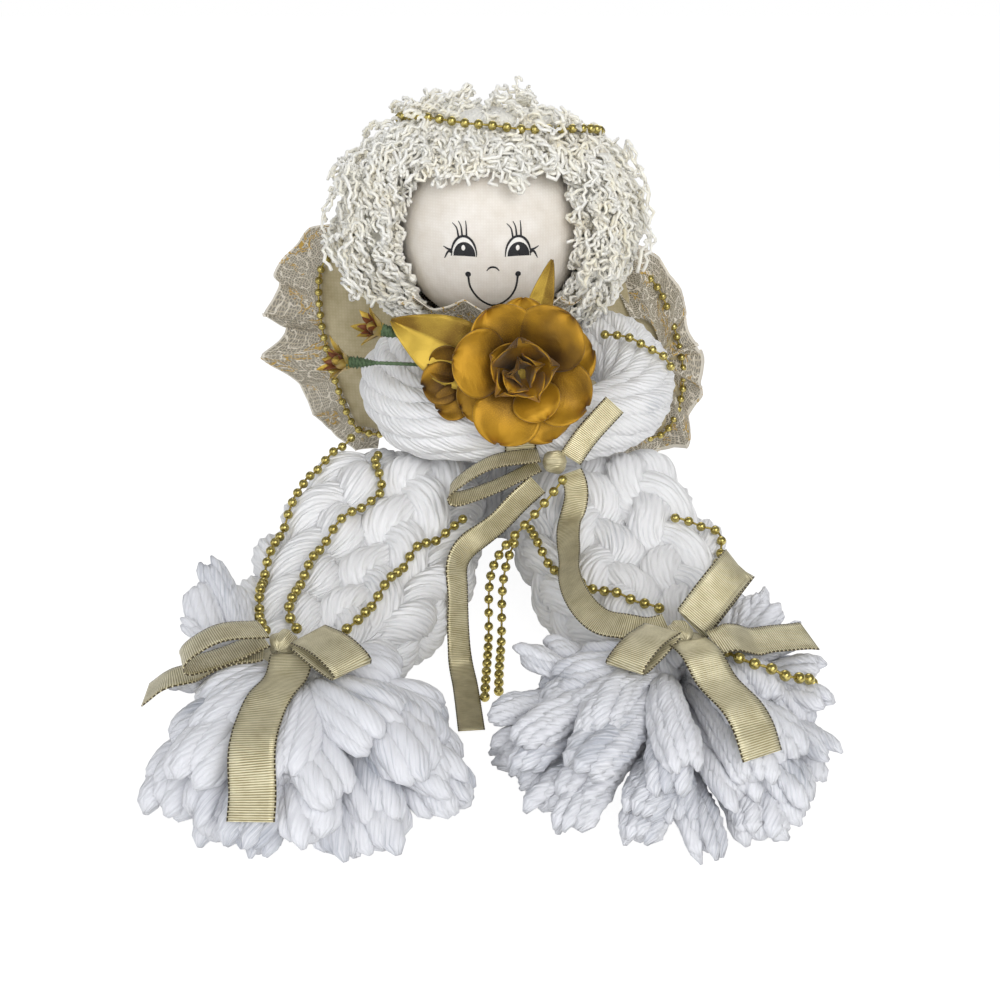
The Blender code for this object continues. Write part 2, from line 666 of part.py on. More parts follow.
def build_rose_trimmings(satin, green):
    """Make the two gold leaves and the two stemmed buds that sit behind the rose."""
    frame = rose_frame()
    facing = frame.to_3x3() @ Vector((0, 0, 1))
    hub = ROSE_RADIUS * 0.28 + GAP
    behind = -0.0125

    def at(x, y, z):
        return frame @ Vector((x, y, z))

    root, tip = at(-hub - 0.0003, -0.001, behind), at(-0.053, 0.021, behind)
    build_leaf("gold_leaf", root, tip, LEAF_WIDTH, facing, satin)
    root, tip = at(0.003, hub + 0.0003, behind), at(0.011, 0.034, behind)
    build_leaf("gold_leaf_small", root, tip, SMALL_LEAF_WIDTH, facing, satin)
    for word, rise, bud_x, bud_y in (("upper", 0.45, -0.052, 0.016), ("lower", -0.42, -0.066, 0.004)):
        start = at(-hub * math.cos(rise), hub * math.sin(rise), behind - 0.0022)
        bend = at(bud_x * 0.55, bud_y * 0.6, behind - 0.0045)
        base = at(bud_x, bud_y, behind - 0.0030)
        stem = smooth_path([start, bend, base], 9)
        mesh_object(f"bud_stem_{word}", *bridge(tube_rings(stem, [STEM_RADIUS * 0.6] * 9, 6)), green)
        direction = (stem[-1] - stem[-2]).normalized()
        build_bud(f"bud_{word}", base + direction * GAP, direction, satin)


def bow_loop(start, tip, lift, spread):
    """Return the centre line of one bow loop: out along its lower side, round and back above."""
    out = tip - start
    low = start + out * 0.55 - lift * 0.25
    high = start + out * 0.55 + lift * 1.1
    return smooth_path([start, low, tip - lift * 0.1, tip + lift * 0.55, high, start + lift * spread], 18)


def build_ankle_bow(word, knot_at, along, loops, tails, trees, material, parent):
    """Make one ankle bow: its knot, two loops and two tails over the foot."""
    reach = along * ANKLE_KNOT_LENGTH / 2
    build_drum(f"ankle_knot_{word}", knot_at - reach, knot_at + reach, ANKLE_KNOT_RADIUS, 12, material, parent)
    knot_tree = tree_of(bpy.data.objects[f"ankle_knot_{word}"])
    clear = RIBBON_THICKNESS / 2 + GAP
    placed = list(trees) + [knot_tree]
    for name, start, tip, lift, across in loops:
        path = bow_loop(mm(*start), mm(*tip), mm(*lift), 0.55)
        wide = [Vector(across)] * len(path)
        path = lay_strip(path, wide, WIDE_RIBBON, placed, clear)
        placed.append(ribbon(f"ankle_loop_{name}", path, wide, WIDE_RIBBON, material, parent))
    for name, points, across in tails:
        path = smooth_path([mm(*p) for p in points], 14)
        wide = [Vector(across[0]).lerp(Vector(across[1]), k / 13) for k in range(14)]
        path = lay_strip(path, wide, WIDE_RIBBON, placed, clear + GAP)
        placed.append(ribbon(f"ankle_tail_{name}", path, wide, WIDE_RIBBON, material, parent))
    return placed


def build_chest_ribbon(trees, material):
    """Make the narrow ribbon at the hands: knot, loop, cut tail, hanging tail and long tail."""
    knot = Vector((0.027, TIE_Y - ARM_RADIUS - 0.0025, HAND_Z - 0.0075))
    reach = Vector((CHEST_KNOT_LENGTH / 2, 0, 0))
    build_drum("chest_knot", knot - reach, knot + reach, CHEST_KNOT_RADIUS, 12, material)
    clear = RIBBON_THICKNESS / 2 + GAP
    placed = list(trees) + [tree_of(bpy.data.objects["chest_knot"])]
    loop = bow_loop(mm(20.5, -89, 73), mm(-15, -95, 61), mm(0, 1, 8), 0.6)
    wide = [Vector((0.1, 1, 0.25))] * len(loop)
    loop = lay_strip(loop, wide, NARROW_RIBBON, placed, clear)
    placed.append(ribbon("chest_loop", loop, wide, NARROW_RIBBON, material))
    for name, points, first, last, count in CHEST_TAILS:
        path = smooth_path([mm(*p) for p in points], count)
        wide = [Vector(first).lerp(Vector(last), k / (count - 1)) for k in range(count)]
        path = lay_strip(path, wide, NARROW_RIBBON, placed, clear)
        placed.append(ribbon(name, path, wide, NARROW_RIBBON, material))
    return placed


CHEST_TAILS = (
    ("chest_tail_short", ((33.4, -89, 76), (40, -88, 86), (51, -85, 98)),
     (0.7, -0.1, -0.6), (0.7, -0.1, -0.6), 8),
    ("chest_tail_long", ((33.5, -89, 70), (36, -88, 64), (36, -92, 58), (33, -99, 53), (32, -108, 49),
                         (32, -119, 47), (33, -131, 46), (38, -143, 46), (46, -153, 45), (54, -158, 44)),
     (1, 0, 0), (0.55, -0.8, 0.1), 32),
    ("chest_tail_hanging", ((20, -92, 66), (12, -94, 59), (4, -97, 51), (-3, -101, 47), (-9, -107, 45),
                            (-13, -113, 40), (-12.5, -117, 28), (-12.5, -121, 14), (-11.5, -129, 4),
                            (-9, -144, 1.5), (-6, -172, 1.5)),
     (0.74, 0, -0.67), (1, 0, 0), 26),
)

LEG_BEADS = (
    ("leg_beads_left_outer", "left", ((-69, -48, 68), (-74, -56, 66), (-80, -66, 62), (-84, -76, 58),
                                      (-87, -86, 53), (-89, -98, 49), (-90, -109, 45), (-89, -121, 44),
                                      (-88, -132, 43), (-86, -146, 42), (-84, -156, 40), (-79, -166, 36)), 18),
    ("leg_beads_left_middle", "left", ((-49, -56, 69), (-50, -64, 67), (-47, -74, 63), (-46, -83, 59),
                                       (-54, -93, 55), (-63, -104, 51), (-69, -119, 48), (-72, -138, 46),
                                       (-73, -156, 43), (-68, -166, 41)), 18),
    ("leg_beads_left_inner", "left", ((-10, -88, 50), (-19, -101, 49), (-29, -113, 48), (-36, -130, 46),
                                      (-42, -146, 44), (-47, -160, 41), (-52, -166, 39)), 14),
    ("leg_beads_right_inner", "right", ((17, -88, 48), (21, -104, 45), (27, -119, 44), (36, -132, 44),
                                        (46, -141, 43), (57, -149, 43), (65, -154, 42)), 14),
    ("leg_beads_right_outer", "right", ((75, -96, 54), (86, -96, 51), (95, -97, 46), (95, -106, 44),
                                        (92, -116, 44), (90, -130, 43), (84, -146, 42), (78, -156, 40)), 13),
    ("foot_beads_right", "right", ((80, -184, 40), (87, -191, 38), (97, -194, 34), (106, -190, 26),
                                   (112, -182, 16)), 8),
)

CHEST_BEADS = (
    ("arm_beads_right", "torso", ((49, -34, 113), (56, -37, 114), (64, -41, 113), (73, -44, 108),
                                  (80, -46, 100)), 10),
    ("chest_beads_first", "torso", ((31, -98, 72), (26, -101, 66), (20, -104, 59), (12, -106, 51),
                                    (4.0, -104, 41), (0.2, -101, 30), (-0.4, -98, 14), (-0.2, -101, 5),
                                    (-0.2, -110, 2.5), (-0.8, -128, 2.5), (-1.4, -154, 2.5)), 26),
    ("chest_beads_second", "torso", ((11, -101, 45), (7.4, -101, 37), (5.4, -100, 24),
                                     (5.2, -100, 12), (5.2, -104, 5), (5.2, -112, 2.5), (4.2, -130, 2.5),
                                     (4.0, -150, 2.5)), 20),
)


def build_beads(routes, trees, material, parents):
    """Lay bead garlands on what carries them and return the trees with the garlands added."""
    placed = list(trees)
    for name, where, points, count in routes:
        path = smooth_path([mm(*p) for p in points], count)
        path = settle(path, placed, BEAD_DIAMETER / 2 + GAP)
        placed.append(cord(name, path, BEAD_DIAMETER, material, parents[where]))
    return placed


def build_halo(material, parent):
    """Lay the bead halo round the crown of the hair."""
    path = []
    for k in range(25):
        turn = math.radians(-118 + 236 * k / 24)
        rise = math.radians(53 + 3 * math.cos(turn) - 4 * math.sin(turn))
        path.append(ball_point(turn, rise, hair_radius(turn, rise) + BEAD_DIAMETER / 2 + GAP))
    path = settle(path, [tree_of(bpy.data.objects["hair_crown"])], BEAD_DIAMETER / 2 + 2 * GAP)
    cord("halo_beads", path, BEAD_DIAMETER, material, parent)


def main():
    """Build every piece of the doll."""
    for obj in list(bpy.data.objects):
        bpy.data.objects.remove(obj, do_unlink=True)

    yarn = make_material("white_yarn", (0.86, 0.87, 0.89), 0.75)
    boucle = make_material("cream_boucle", (0.80, 0.76, 0.66), 0.9)
    muslin = make_material("muslin", (0.83, 0.79, 0.72), 0.85)
    fabric = make_material("cream_fabric", (0.74, 0.68, 0.55), 0.85)
    lace = make_material("gold_lace", (0.66, 0.58, 0.42), 0.8)
    satin = make_material("gold_satin", (0.40, 0.22, 0.02), 0.4)
    ribbon_gold = make_material("gold_ribbon", (0.58, 0.48, 0.24), 0.45, 0.3)
    beads = make_material("gold_beads", (0.62, 0.45, 0.10), 0.2, 0.8)
    green = make_material("stem_green", (0.16, 0.20, 0.07), 0.6)

    hip_left = joint_empty("hip_left_axis", (LEG_INNER_LEFT - LEG_ROOT_WIDTH / 2, HIP_Y, HIP_Z))
    hip_right = joint_empty("hip_right_axis", (LEG_INNER_RIGHT + LEG_ROOT_WIDTH / 2, HIP_Y, HIP_Z))
    neck = joint_empty("neck_axis", HEAD_CENTRE)
    wing_left = joint_empty("wing_left_axis", (-WING_ROOT_X, WING_HINGE_Y, WING_ROOT_LOW))
    wing_right = joint_empty("wing_right_axis", (WING_ROOT_X, WING_HINGE_Y, WING_ROOT_LOW))

    body = build_body(yarn)
    collar = build_collar(lace)
    build_head(muslin, neck)
    build_hair(boucle, neck)
    build_wings(fabric, lace, beads, wing_left, wing_right)

    left_leg = build_leg("leg_left", -1, LEFT_LEG, yarn, hip_left)
    right_leg = build_leg("leg_right", 1, RIGHT_LEG, yarn, hip_right)
    left_tie = build_ankle_tie("ankle_tie_left", LEFT_TIE, ribbon_gold, hip_left)
    right_tie = build_ankle_tie("ankle_tie_right", RIGHT_TIE, ribbon_gold, hip_right)
    left_foot = build_foot("foot_tassel_left", -57, -203, 52, 41, 7, yarn, hip_left)
    right_foot = build_foot("foot_tassel_right", 59, -197, 55, 42, 8, yarn, hip_right)
    left_side = [tree_of(obj) for obj in (left_leg, left_foot, left_tie)]
    right_side = [tree_of(obj) for obj in (right_leg, right_foot, right_tie)]
    cut_by(left_foot, (left_leg, left_tie), GAP, "MANIFOLD")
    cut_by(right_foot, (right_leg, right_tie), GAP, "MANIFOLD")

    left_arm = build_arm("arm_left", LEFT_ARM, yarn)
    right_arm = build_arm("arm_right", RIGHT_ARM, yarn)
    tie_start = Vector((TIE_X - TIE_WIDTH / 2, TIE_Y, HAND_Z))
    tie_end = Vector((TIE_X + TIE_WIDTH / 2, TIE_Y, HAND_Z))
    hand_tie = build_drum("hand_tie", tie_start, tie_end, TIE_RADIUS, 16, ribbon_gold)
    carried = [tree_of(obj) for obj in (body, left_arm, right_arm, hand_tie)]
    cut_by(left_arm, (body, collar, hand_tie), GAP)
    cut_by(right_arm, (body, collar, hand_tie), GAP)

    build_rose(satin, green)
    build_rose_trimmings(satin, green)
    build_halo(beads, neck)

    left_side = build_ankle_bow("left", mm(-70, -182, 44.6), Vector((0.3, 1, 0)), (
        ("left_outer", (-76.6, -181, 46), (-101, -196, 45), (0, 0, 11), (0.35, -1, 0.1)),
        ("left_inner", (-61, -182, 43), (-46, -200, 43), (0, 0, 9), (0.8, 0.6, 0.1)),
    ), (
        ("left_outer", ((-76.4, -185.0, 43.4), (-96, -188, 39), (-116, -193, 31)),
         ((0, -1, 0.1), (0.2, -1, 0.1))),
        ("left_front", ((-66, -189.4, 45), (-66, -201, 44), (-70, -215, 42), (-71, -229, 36), (-70, -241, 24),
                        (-69, -248, 9)), ((1, 0, 0), (1, 0, 0))),
    ), left_side, ribbon_gold, hip_left)
    right_side = build_ankle_bow("right", mm(67, -176, 44.6), Vector((-0.3, 1, 0)), (
        ("right_outer", (73, -172, 44), (91, -156, 56), (-3, 3, 9), (0.8, 0.75, 0)),
        ("right_inner", (60.6, -178, 43), (44, -193, 42), (0, 0, 9), (0.8, -0.6, 0.1)),
    ), (
        ("right_outer", ((77, -188, 42), (92, -186, 41), (112, -179, 31)), ((0, 1, 0.1), (0.1, 1, 0.1))),
        ("right_front", ((68.6, -182.9, 45), (75, -203, 43), (82, -217, 37), (88, -229, 25), (91, -238, 10)),
         ((1, 0.3, 0), (1, 0.4, 0))),
    ), right_side, ribbon_gold, hip_right)
    parents = {"left": hip_left, "right": hip_right, "torso": None}
    placed = build_beads(LEG_BEADS, carried + left_side + right_side, beads, parents)
    placed = build_chest_ribbon(placed, ribbon_gold)
    build_beads(CHEST_BEADS, placed, beads, parents)


if __name__ == "__main__":
    main()
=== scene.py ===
"""Looks of a seated yarn angel: yarn, curls, muslin, satin, lace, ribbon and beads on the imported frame.

Lengths are metres. +Z is up and the doll looks towards -Y. Left means the viewer's left, which is -X.
Route points and outlines are written in millimetres and turned to metres where they are used.
"""
import json
import logging
import math
from dataclasses import dataclass
from enum import Enum
from functools import cached_property, partial
from typing import Any, Callable, Iterable, Optional, Sequence

import bpy
import numpy as np
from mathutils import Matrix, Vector
from mathutils.bvhtree import BVHTree


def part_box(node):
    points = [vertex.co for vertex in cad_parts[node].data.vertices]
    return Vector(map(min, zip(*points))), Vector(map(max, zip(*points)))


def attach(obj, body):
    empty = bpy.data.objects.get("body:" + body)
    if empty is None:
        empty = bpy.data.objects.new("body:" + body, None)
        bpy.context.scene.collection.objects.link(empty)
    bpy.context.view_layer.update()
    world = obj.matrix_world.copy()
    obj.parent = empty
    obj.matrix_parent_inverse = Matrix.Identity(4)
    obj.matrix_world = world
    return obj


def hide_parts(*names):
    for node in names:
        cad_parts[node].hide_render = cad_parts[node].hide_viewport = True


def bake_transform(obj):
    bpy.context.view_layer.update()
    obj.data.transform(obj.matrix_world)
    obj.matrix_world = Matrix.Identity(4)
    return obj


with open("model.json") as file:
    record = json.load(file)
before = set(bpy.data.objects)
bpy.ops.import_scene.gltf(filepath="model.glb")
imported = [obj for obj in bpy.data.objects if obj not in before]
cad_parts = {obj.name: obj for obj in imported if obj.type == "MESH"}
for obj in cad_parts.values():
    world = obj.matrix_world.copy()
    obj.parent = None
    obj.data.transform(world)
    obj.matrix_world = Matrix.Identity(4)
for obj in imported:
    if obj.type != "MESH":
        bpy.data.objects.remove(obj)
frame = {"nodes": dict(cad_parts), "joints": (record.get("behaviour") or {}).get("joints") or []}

Array = np.ndarray
Random = np.random.Generator
Object = bpy.types.Object
Node = bpy.types.Node
Socket = bpy.types.NodeSocket
AddNode = Callable[..., Node]

LOG = logging.getLogger("yarn_angel")
TURN = 2.0 * math.pi
ACROSS, BACK, UP = np.eye(3)
TOWARDS_EYE = np.array((0.0, -0.3714, 0.9285))
# A direction that no thread or wire runs along.
ASKEW = np.array((0.1, 0.2, 1.0))
BEAD = 0.004
# Width of one ply on a yarn's skin: the UVs go round a yarn in whole plies.
PLY = 0.0022
# Slope of the fibre streaks against the plies.
FIBRE_SLANT = -0.25
# A point further than this behind a surface counts as outside the shape.
DEEPEST = 0.03
EVEN_GLOW = (1.0, 1.0, 1.0)


class Side(Enum):
    """The viewer's side that a piece is on, with its sign along X."""

    LEFT = -1
    RIGHT = 1

    @property
    def word(self) -> str:
        """The side's word in piece and node names."""
        return self.name.lower()


class Slot(Enum):
    """The record's material slots."""

    YARN = "white_yarn"
    CURLS = "cream_boucle"
    MUSLIN = "muslin"
    WING = "cream_fabric"
    LACE = "gold_lace"
    SATIN = "gold_satin"
    RIBBON = "gold_ribbon"
    BEADS = "gold_beads"
    STEM = "stem_green"


# Lines and frames

def mm(points: Sequence) -> Array:
    """Return points given in millimetres as an array in metres."""
    return np.asarray(points, float) * 0.001


def unit(rows: Array) -> Array:
    """Return rows of vectors at length one."""
    return rows / np.maximum(np.linalg.norm(rows, axis=-1, keepdims=True), 1e-12)


def squared(values: Array, power: float) -> Array:
    """Return sines or cosines raised to a power with their signs kept, which squares off a round section."""
    return np.sign(values) * np.abs(values) ** power


def around(turn: Array, first: Array, second: Array) -> Array:
    """Return vectors at angles that go from a first direction towards a second one."""
    return np.cos(turn)[:, None] * first + np.sin(turn)[:, None] * second


def lengths(path: Array) -> Array:
    """Return the distance along a path at each of its points."""
    return np.concatenate([[0.0], np.cumsum(np.linalg.norm(np.diff(path[:, :3], axis=0), axis=1))])


def resample(line: Array, count: int) -> Array:
    """Return count rows evenly spaced along a line; columns past the third go with the place."""
    along = lengths(line)
    want = np.linspace(0.0, along[-1], count)
    return np.stack([np.interp(want, along, column) for column in line.T], axis=1)


def smooth_path(points: Sequence, count: int) -> Array:
    """Return count points evenly spaced along a smooth curve through the given points."""
    p = np.asarray(points, float)
    ends = np.vstack([2 * p[0] - p[1], p, 2 * p[-1] - p[-2]])
    t = np.linspace(0.0, 1.0, 16, endpoint=False)[:, None]
    spans = []
    for a, b, c, d in zip(ends, ends[1:], ends[2:], ends[3:]):
        spans.append(0.5 * (2 * b + (c - a) * t + (2 * a - 5 * b + 4 * c - d) * t**2
                            + (3 * b - a - 3 * c + d) * t**3))
    return resample(np.vstack(spans + [p[-1:]]), count)


def ease(line: Array) -> None:
    """Smooth a line a little in place, with its ends held."""
    line[1:-1] = (line[:-2] + 2 * line[1:-1] + line[2:]) / 4


def frames(path: Array, out: Array) -> tuple[Array, Array, Array]:
    """Return the direction, the outward normal and the sideways vector at each point of a path.

    Args:
        path: points of a line.
        out: one vector or one per point, roughly across the line.
    Returns:
        Three arrays of unit vectors.
    """
    ahead = unit(np.gradient(path, axis=0))
    away = np.broadcast_to(out, path.shape)
    normal = unit(away - ahead * np.sum(away * ahead, axis=1, keepdims=True))
    return ahead, normal, np.cross(ahead, normal)


# Colours and nodes

def linear(code: str) -> tuple[float, float, float, float]:
    """Return an sRGB hex colour as linear values."""
    channels = [int(code[k:k + 2], 16) / 255.0 for k in (1, 3, 5)]
    r, g, b = [c / 12.92 if c <= 0.04045 else ((c + 0.055) / 1.055) ** 2.4 for c in channels]
    return r, g, b, 1.0


def set_node(tree: bpy.types.NodeTree, node: Node, *first: Any, **named: Any) -> Node:
    """Give a node its settings and links. A node or a socket links to an input, and anything else sets it.

    Args:
        tree: the node tree that holds the node.
        node: the node.
        first: what its first inputs get, in their order.
        named: its properties, what its other inputs get by name or identifier, with underscores for spaces,
            and the two stops of a colour ramp as places and hex colours.
    Returns:
        The node.
    """
    sockets = {s.name.replace(" ", "_"): s for s in reversed(node.inputs)}
    sockets.update({s.identifier: s for s in node.inputs})
    for key, value in (*enumerate(first), *named.items()):
        if key == "stops":
            for stop, (position, code) in zip(node.color_ramp.elements, value):
                stop.position = position
                stop.color = linear(code)
        elif isinstance(key, str) and hasattr(node, key):
            setattr(node, key, value)
        else:
            socket = node.inputs[key] if isinstance(key, int) else sockets[key]
            source = value.outputs[0] if isinstance(value, Node) else value
            if isinstance(source, Socket):
                tree.links.new(source, socket)
            else:
                socket.default_value = source
    return node


def add_node(tree: bpy.types.NodeTree, kind: str, *first: Any, **named: Any) -> Node:
    """Add a node of a type, named without its ShaderNode prefix, with its settings and links."""
    return set_node(tree, tree.nodes.new("ShaderNode" + kind), *first, **named)


@dataclass(frozen=True)
class Finish:
    """A finish with its two main colours. It makes its material once and hands out the same one later."""

    name: str
    light: str
    shade: str

    def material(self) -> bpy.types.Material:
        """Return this finish's material, built when it is first asked for."""
        material = bpy.data.materials.get(self.name)
        if material is None:
            material = bpy.data.materials.new(self.name)
            material.use_nodes = True
            tree = material.node_tree
            add = partial(add_node, tree)
            place = add("TexCoord")
            look = self.look(add, place.outputs["UV"], place.outputs["Object"])
            set_node(tree, tree.nodes["Principled BSDF"], **look)
        return material

    def look(self, add: AddNode, flat: Socket, solid: Socket) -> dict:
        """Add the nodes of this look.

        Args:
            add: adds a node to the material.
            flat: the UV coordinates, in metres.
            solid: the object's own coordinates.
        Returns:
            What the shader's sockets get.
        """
        raise NotImplementedError


@dataclass(frozen=True)
class YarnFinish(Finish):
    """Carded acrylic roving: silky, with plies and long fibre streaks that follow the twist."""

    ply_mm: float = 2.2
    fibre_mm: float = 0.5
    streak_mm: float = 9.0
    tone_mm: float = 24.0
    # Painted shade: how much darker the grooves between the plies are coloured than the ply crowns.
    ply_share: float = 0.24
    bump: float = 0.6
    ply_bump: float = 1.0
    bend_mm: float = 7.14
    glow_mm: float = 2.0

    def look(self, add: AddNode, flat: Socket, solid: Socket) -> dict:
        """Stripes a ply wide, with painted shade in the grooves between the plies, and fibre streaks that are
        partly the fibres' own tone and partly painted sheen, on a slow change of tone. U runs round the yarn.
        """
        fine = add("Mapping", flat, Scale=(1000 / self.fibre_mm, 1000 / self.streak_mm, 1.0))
        streaks = add("TexNoise", fine, Scale=1.0, Detail=3.0, Roughness=0.6)
        patches = add("TexNoise", solid, Scale=1000 / self.tone_mm, Detail=1.0)
        bends = add("TexNoise", flat, Scale=1000 / self.bend_mm, Detail=1.0)
        across = add("SeparateXYZ", flat).outputs["X"]
        step = add("Math", across, TURN * 1000 / self.ply_mm, operation="MULTIPLY")
        phase = add("Math", bends, 5.0, step, operation="MULTIPLY_ADD")
        wave = add("Math", phase, operation="SINE")
        plies = add("Math", wave, 0.5, 0.5, operation="MULTIPLY_ADD")
        domes = add("Math", plies, 0.6, operation="POWER")
        tint = add("Attribute", attribute_name="tint").outputs["Fac"]
        # The streaks go into the colour as well as the bump: partly the fibres' own tone, partly painted
        # sheen.
        mixed = add("Math", streaks, 0.7, patches, operation="MULTIPLY_ADD")
        both = add("Math", tint, 0.3, mixed, operation="MULTIPLY_ADD")
        # Painted shade: the grooves between the plies take the darker colour and the ply crowns the lighter
        # one.
        toned = add("Math", domes, self.ply_share, both, operation="MULTIPLY_ADD")
        colour = add("ValToRGB", toned, stops=((0.62, self.shade), (1.0, self.light)))
        raised = add("Math", domes, self.ply_bump, operation="MULTIPLY")
        height = add("Math", streaks, 0.45, raised, operation="MULTIPLY_ADD")
        bump = add("Bump", Strength=self.bump, Distance=0.0009, Height=height)
        return dict(Base_Color=colour, Normal=bump, Roughness=0.55, Sheen_Weight=0.3, Sheen_Roughness=0.4,
                    Subsurface_Weight=0.2, Subsurface_Radius=EVEN_GLOW, Subsurface_Scale=self.glow_mm / 1000)


@dataclass(frozen=True)
class CurlFinish(Finish):
    """Boucle yarn: matt, off-white, with a nap of loops about a millimetre across."""

    loop_mm: float = 1.3
    tone_mm: float = 11.1
    glow_mm: float = 1.6

    def look(self, add: AddNode, flat: Socket, solid: Socket) -> dict:
        """Cells the size of the loops give the bump, and a slow noise gives the tone."""
        loops = add("TexVoronoi", solid, feature="F1", Scale=1000 / self.loop_mm)
        patches = add("TexNoise", solid, Scale=1000 / self.tone_mm, Detail=2.0)
        tint = add("Attribute", attribute_name="tint").outputs["Fac"]
        mixed = add("Math", tint, 0.5, patches, operation="MULTIPLY_ADD")
        colour = add("ValToRGB", mixed, stops=((0.35, self.shade), (0.95, self.light)))
        bump = add("Bump", Strength=0.1, Distance=0.0004, invert=True, Height=loops)
        return dict(Base_Color=colour, Normal=bump, Roughness=0.85, Sheen_Weight=0.8, Sheen_Roughness=0.4,
                    Subsurface_Weight=0.6, Subsurface_Radius=EVEN_GLOW, Subsurface_Scale=self.glow_mm / 1000)


@dataclass(frozen=True)
class WovenFinish(Finish):
    """Plain-woven cotton: two sets of threads, drawn a little coarse so that the weave shows."""

    thread_mm: float = 0.6
    bump: float = 0.25
    slub_mm: float = 9.09

    def look(self, add: AddNode, flat: Socket, solid: Socket) -> dict:
        """Two crossed waves make the weave, and noise makes slubs and faint stains."""
        waves = [add("TexWave", solid, wave_type="BANDS", bands_direction=way, Distortion=0.6, Detail=1.0,
                     Scale=1000 / self.thread_mm * TURN / 40).outputs["Fac"] for way in ("X", "Z")]
        weave = add("Math", *waves, operation="MULTIPLY")
        slubs = add("TexNoise", solid, Scale=1000 / self.slub_mm, Detail=5.0, Roughness=0.6)
        tone = add("Math", weave, 0.12, slubs, operation="MULTIPLY_ADD")
        colour = add("ValToRGB", tone, stops=((0.3, self.shade), (0.75, self.light)))
        bump = add("Bump", Strength=self.bump, Distance=0.0002, Height=weave)
        return dict(Base_Color=colour, Normal=bump, Roughness=0.85, Sheen_Weight=0.2)


@dataclass(frozen=True)
class LaceFinish(Finish):
    """Machine lace: a fine net over holes coloured a dark grey-beige, which is partly the tulle ground and
    partly painted shade, drawn through with looped outlines and gold specks.
    """

    thread: str
    gold: str
    mesh_mm: float = 1.25
    loop_mm: float = 6.5
    speck_mm: float = 4.2
    drift_mm: float = 3.85
    patch_mm: float = 14.3

    def look(self, add: AddNode, flat: Socket, solid: Socket) -> dict:
        """Small cells make the net, rings round scattered points the loops, and gold follows some of them."""
        cells = add("TexVoronoi", flat, feature="DISTANCE_TO_EDGE", voronoi_dimensions="2D", Randomness=0.55,
                    Scale=1000 / self.mesh_mm)
        net = add("Math", cells, 0.17, operation="LESS_THAN")
        drift = add("TexNoise", flat, Scale=1000 / self.drift_mm, Detail=1.0)
        shift = add("VectorMath", drift.outputs["Color"], operation="SCALE", Scale=0.005)
        bent = add("VectorMath", flat, shift, operation="ADD")
        rings = []
        for size, step, width in ((self.loop_mm, 0.21, 0.036), (self.speck_mm, 0.26, 0.06)):
            spread = add("TexVoronoi", bent, feature="F1", voronoi_dimensions="2D", Randomness=0.9,
                         Scale=1000 / size)
            fold = add("Math", spread, step, operation="PINGPONG")
            rings.append(add("Math", fold, width, operation="LESS_THAN"))
        patch = add("TexNoise", flat, Scale=1000 / self.patch_mm, Detail=1.0)
        there = add("Math", patch, 0.55, operation="GREATER_THAN")
        golden = add("Math", rings[1], there, operation="MULTIPLY")
        tint = add("Attribute", attribute_name="tint").outputs["Fac"]
        hem = add("Math", tint, 0.955, operation="GREATER_THAN")
        bold = add("Math", rings[0], hem, operation="MAXIMUM")
        drawn = add("Math", bold, golden, operation="MAXIMUM")
        thread = add("Math", drawn, net, operation="MAXIMUM")
        alpha = add("Math", thread, 0.68, operation="MAXIMUM")
        # The holes take the dark colour at part cover: partly the tulle ground, partly painted shade seen
        # through the lace.
        net_over_painted_shade = add("ValToRGB", net, stops=((0.0, self.shade), (1.0, self.light)))
        pale = add("Mix", bold, data_type="RGBA", A_Color=net_over_painted_shade, B_Color=linear(self.thread))
        colour = add("Mix", golden, data_type="RGBA", A_Color=pale.outputs[2], B_Color=linear(self.gold))
        bump = add("Bump", Strength=0.5, Distance=0.0004, Height=drawn)
        return dict(Base_Color=colour.outputs[2], Alpha=alpha, Normal=bump, Roughness=0.7, Metallic=0.1)


@dataclass(frozen=True)
class SatinFinish(Finish):
    """Polyester satin: a smooth twill with a broad metallic-looking gloss and soft creases."""

    metal: float
    thread_mm: float = 0.5
    tone_mm: float = 14.3
    crease_mm: float = 6.0

    def look(self, add: AddNode, flat: Socket, solid: Socket) -> dict:
        """Fine cells make the grain of the weave, slow noise the dye's tone and finer noise the creases."""
        twill = add("TexVoronoi", flat, feature="F1", voronoi_dimensions="2D", Randomness=0.35,
                    Scale=1000 / self.thread_mm)
        clouds = add("TexNoise", solid, Scale=1000 / self.tone_mm, Detail=2.0)
        tint = add("Attribute", attribute_name="tint").outputs["Fac"]
        tone = add("Math", tint, 0.7, clouds, operation="MULTIPLY_ADD")
        grained = add("Math", twill, 0.45, tone, operation="MULTIPLY_ADD")
        colour = add("ValToRGB", grained, stops=((0.45, self.shade), (1.0, self.light)))
        creases = add("TexNoise", solid, Scale=1000 / self.crease_mm, Detail=2.0, Distortion=0.8)
        height = add("Math", creases, 5.0, twill, operation="MULTIPLY_ADD")
        bump = add("Bump", Strength=0.35, Distance=0.0002, Height=height)
        return dict(Base_Color=colour, Normal=bump, Roughness=0.42, Metallic=self.metal, Sheen_Weight=0.15)


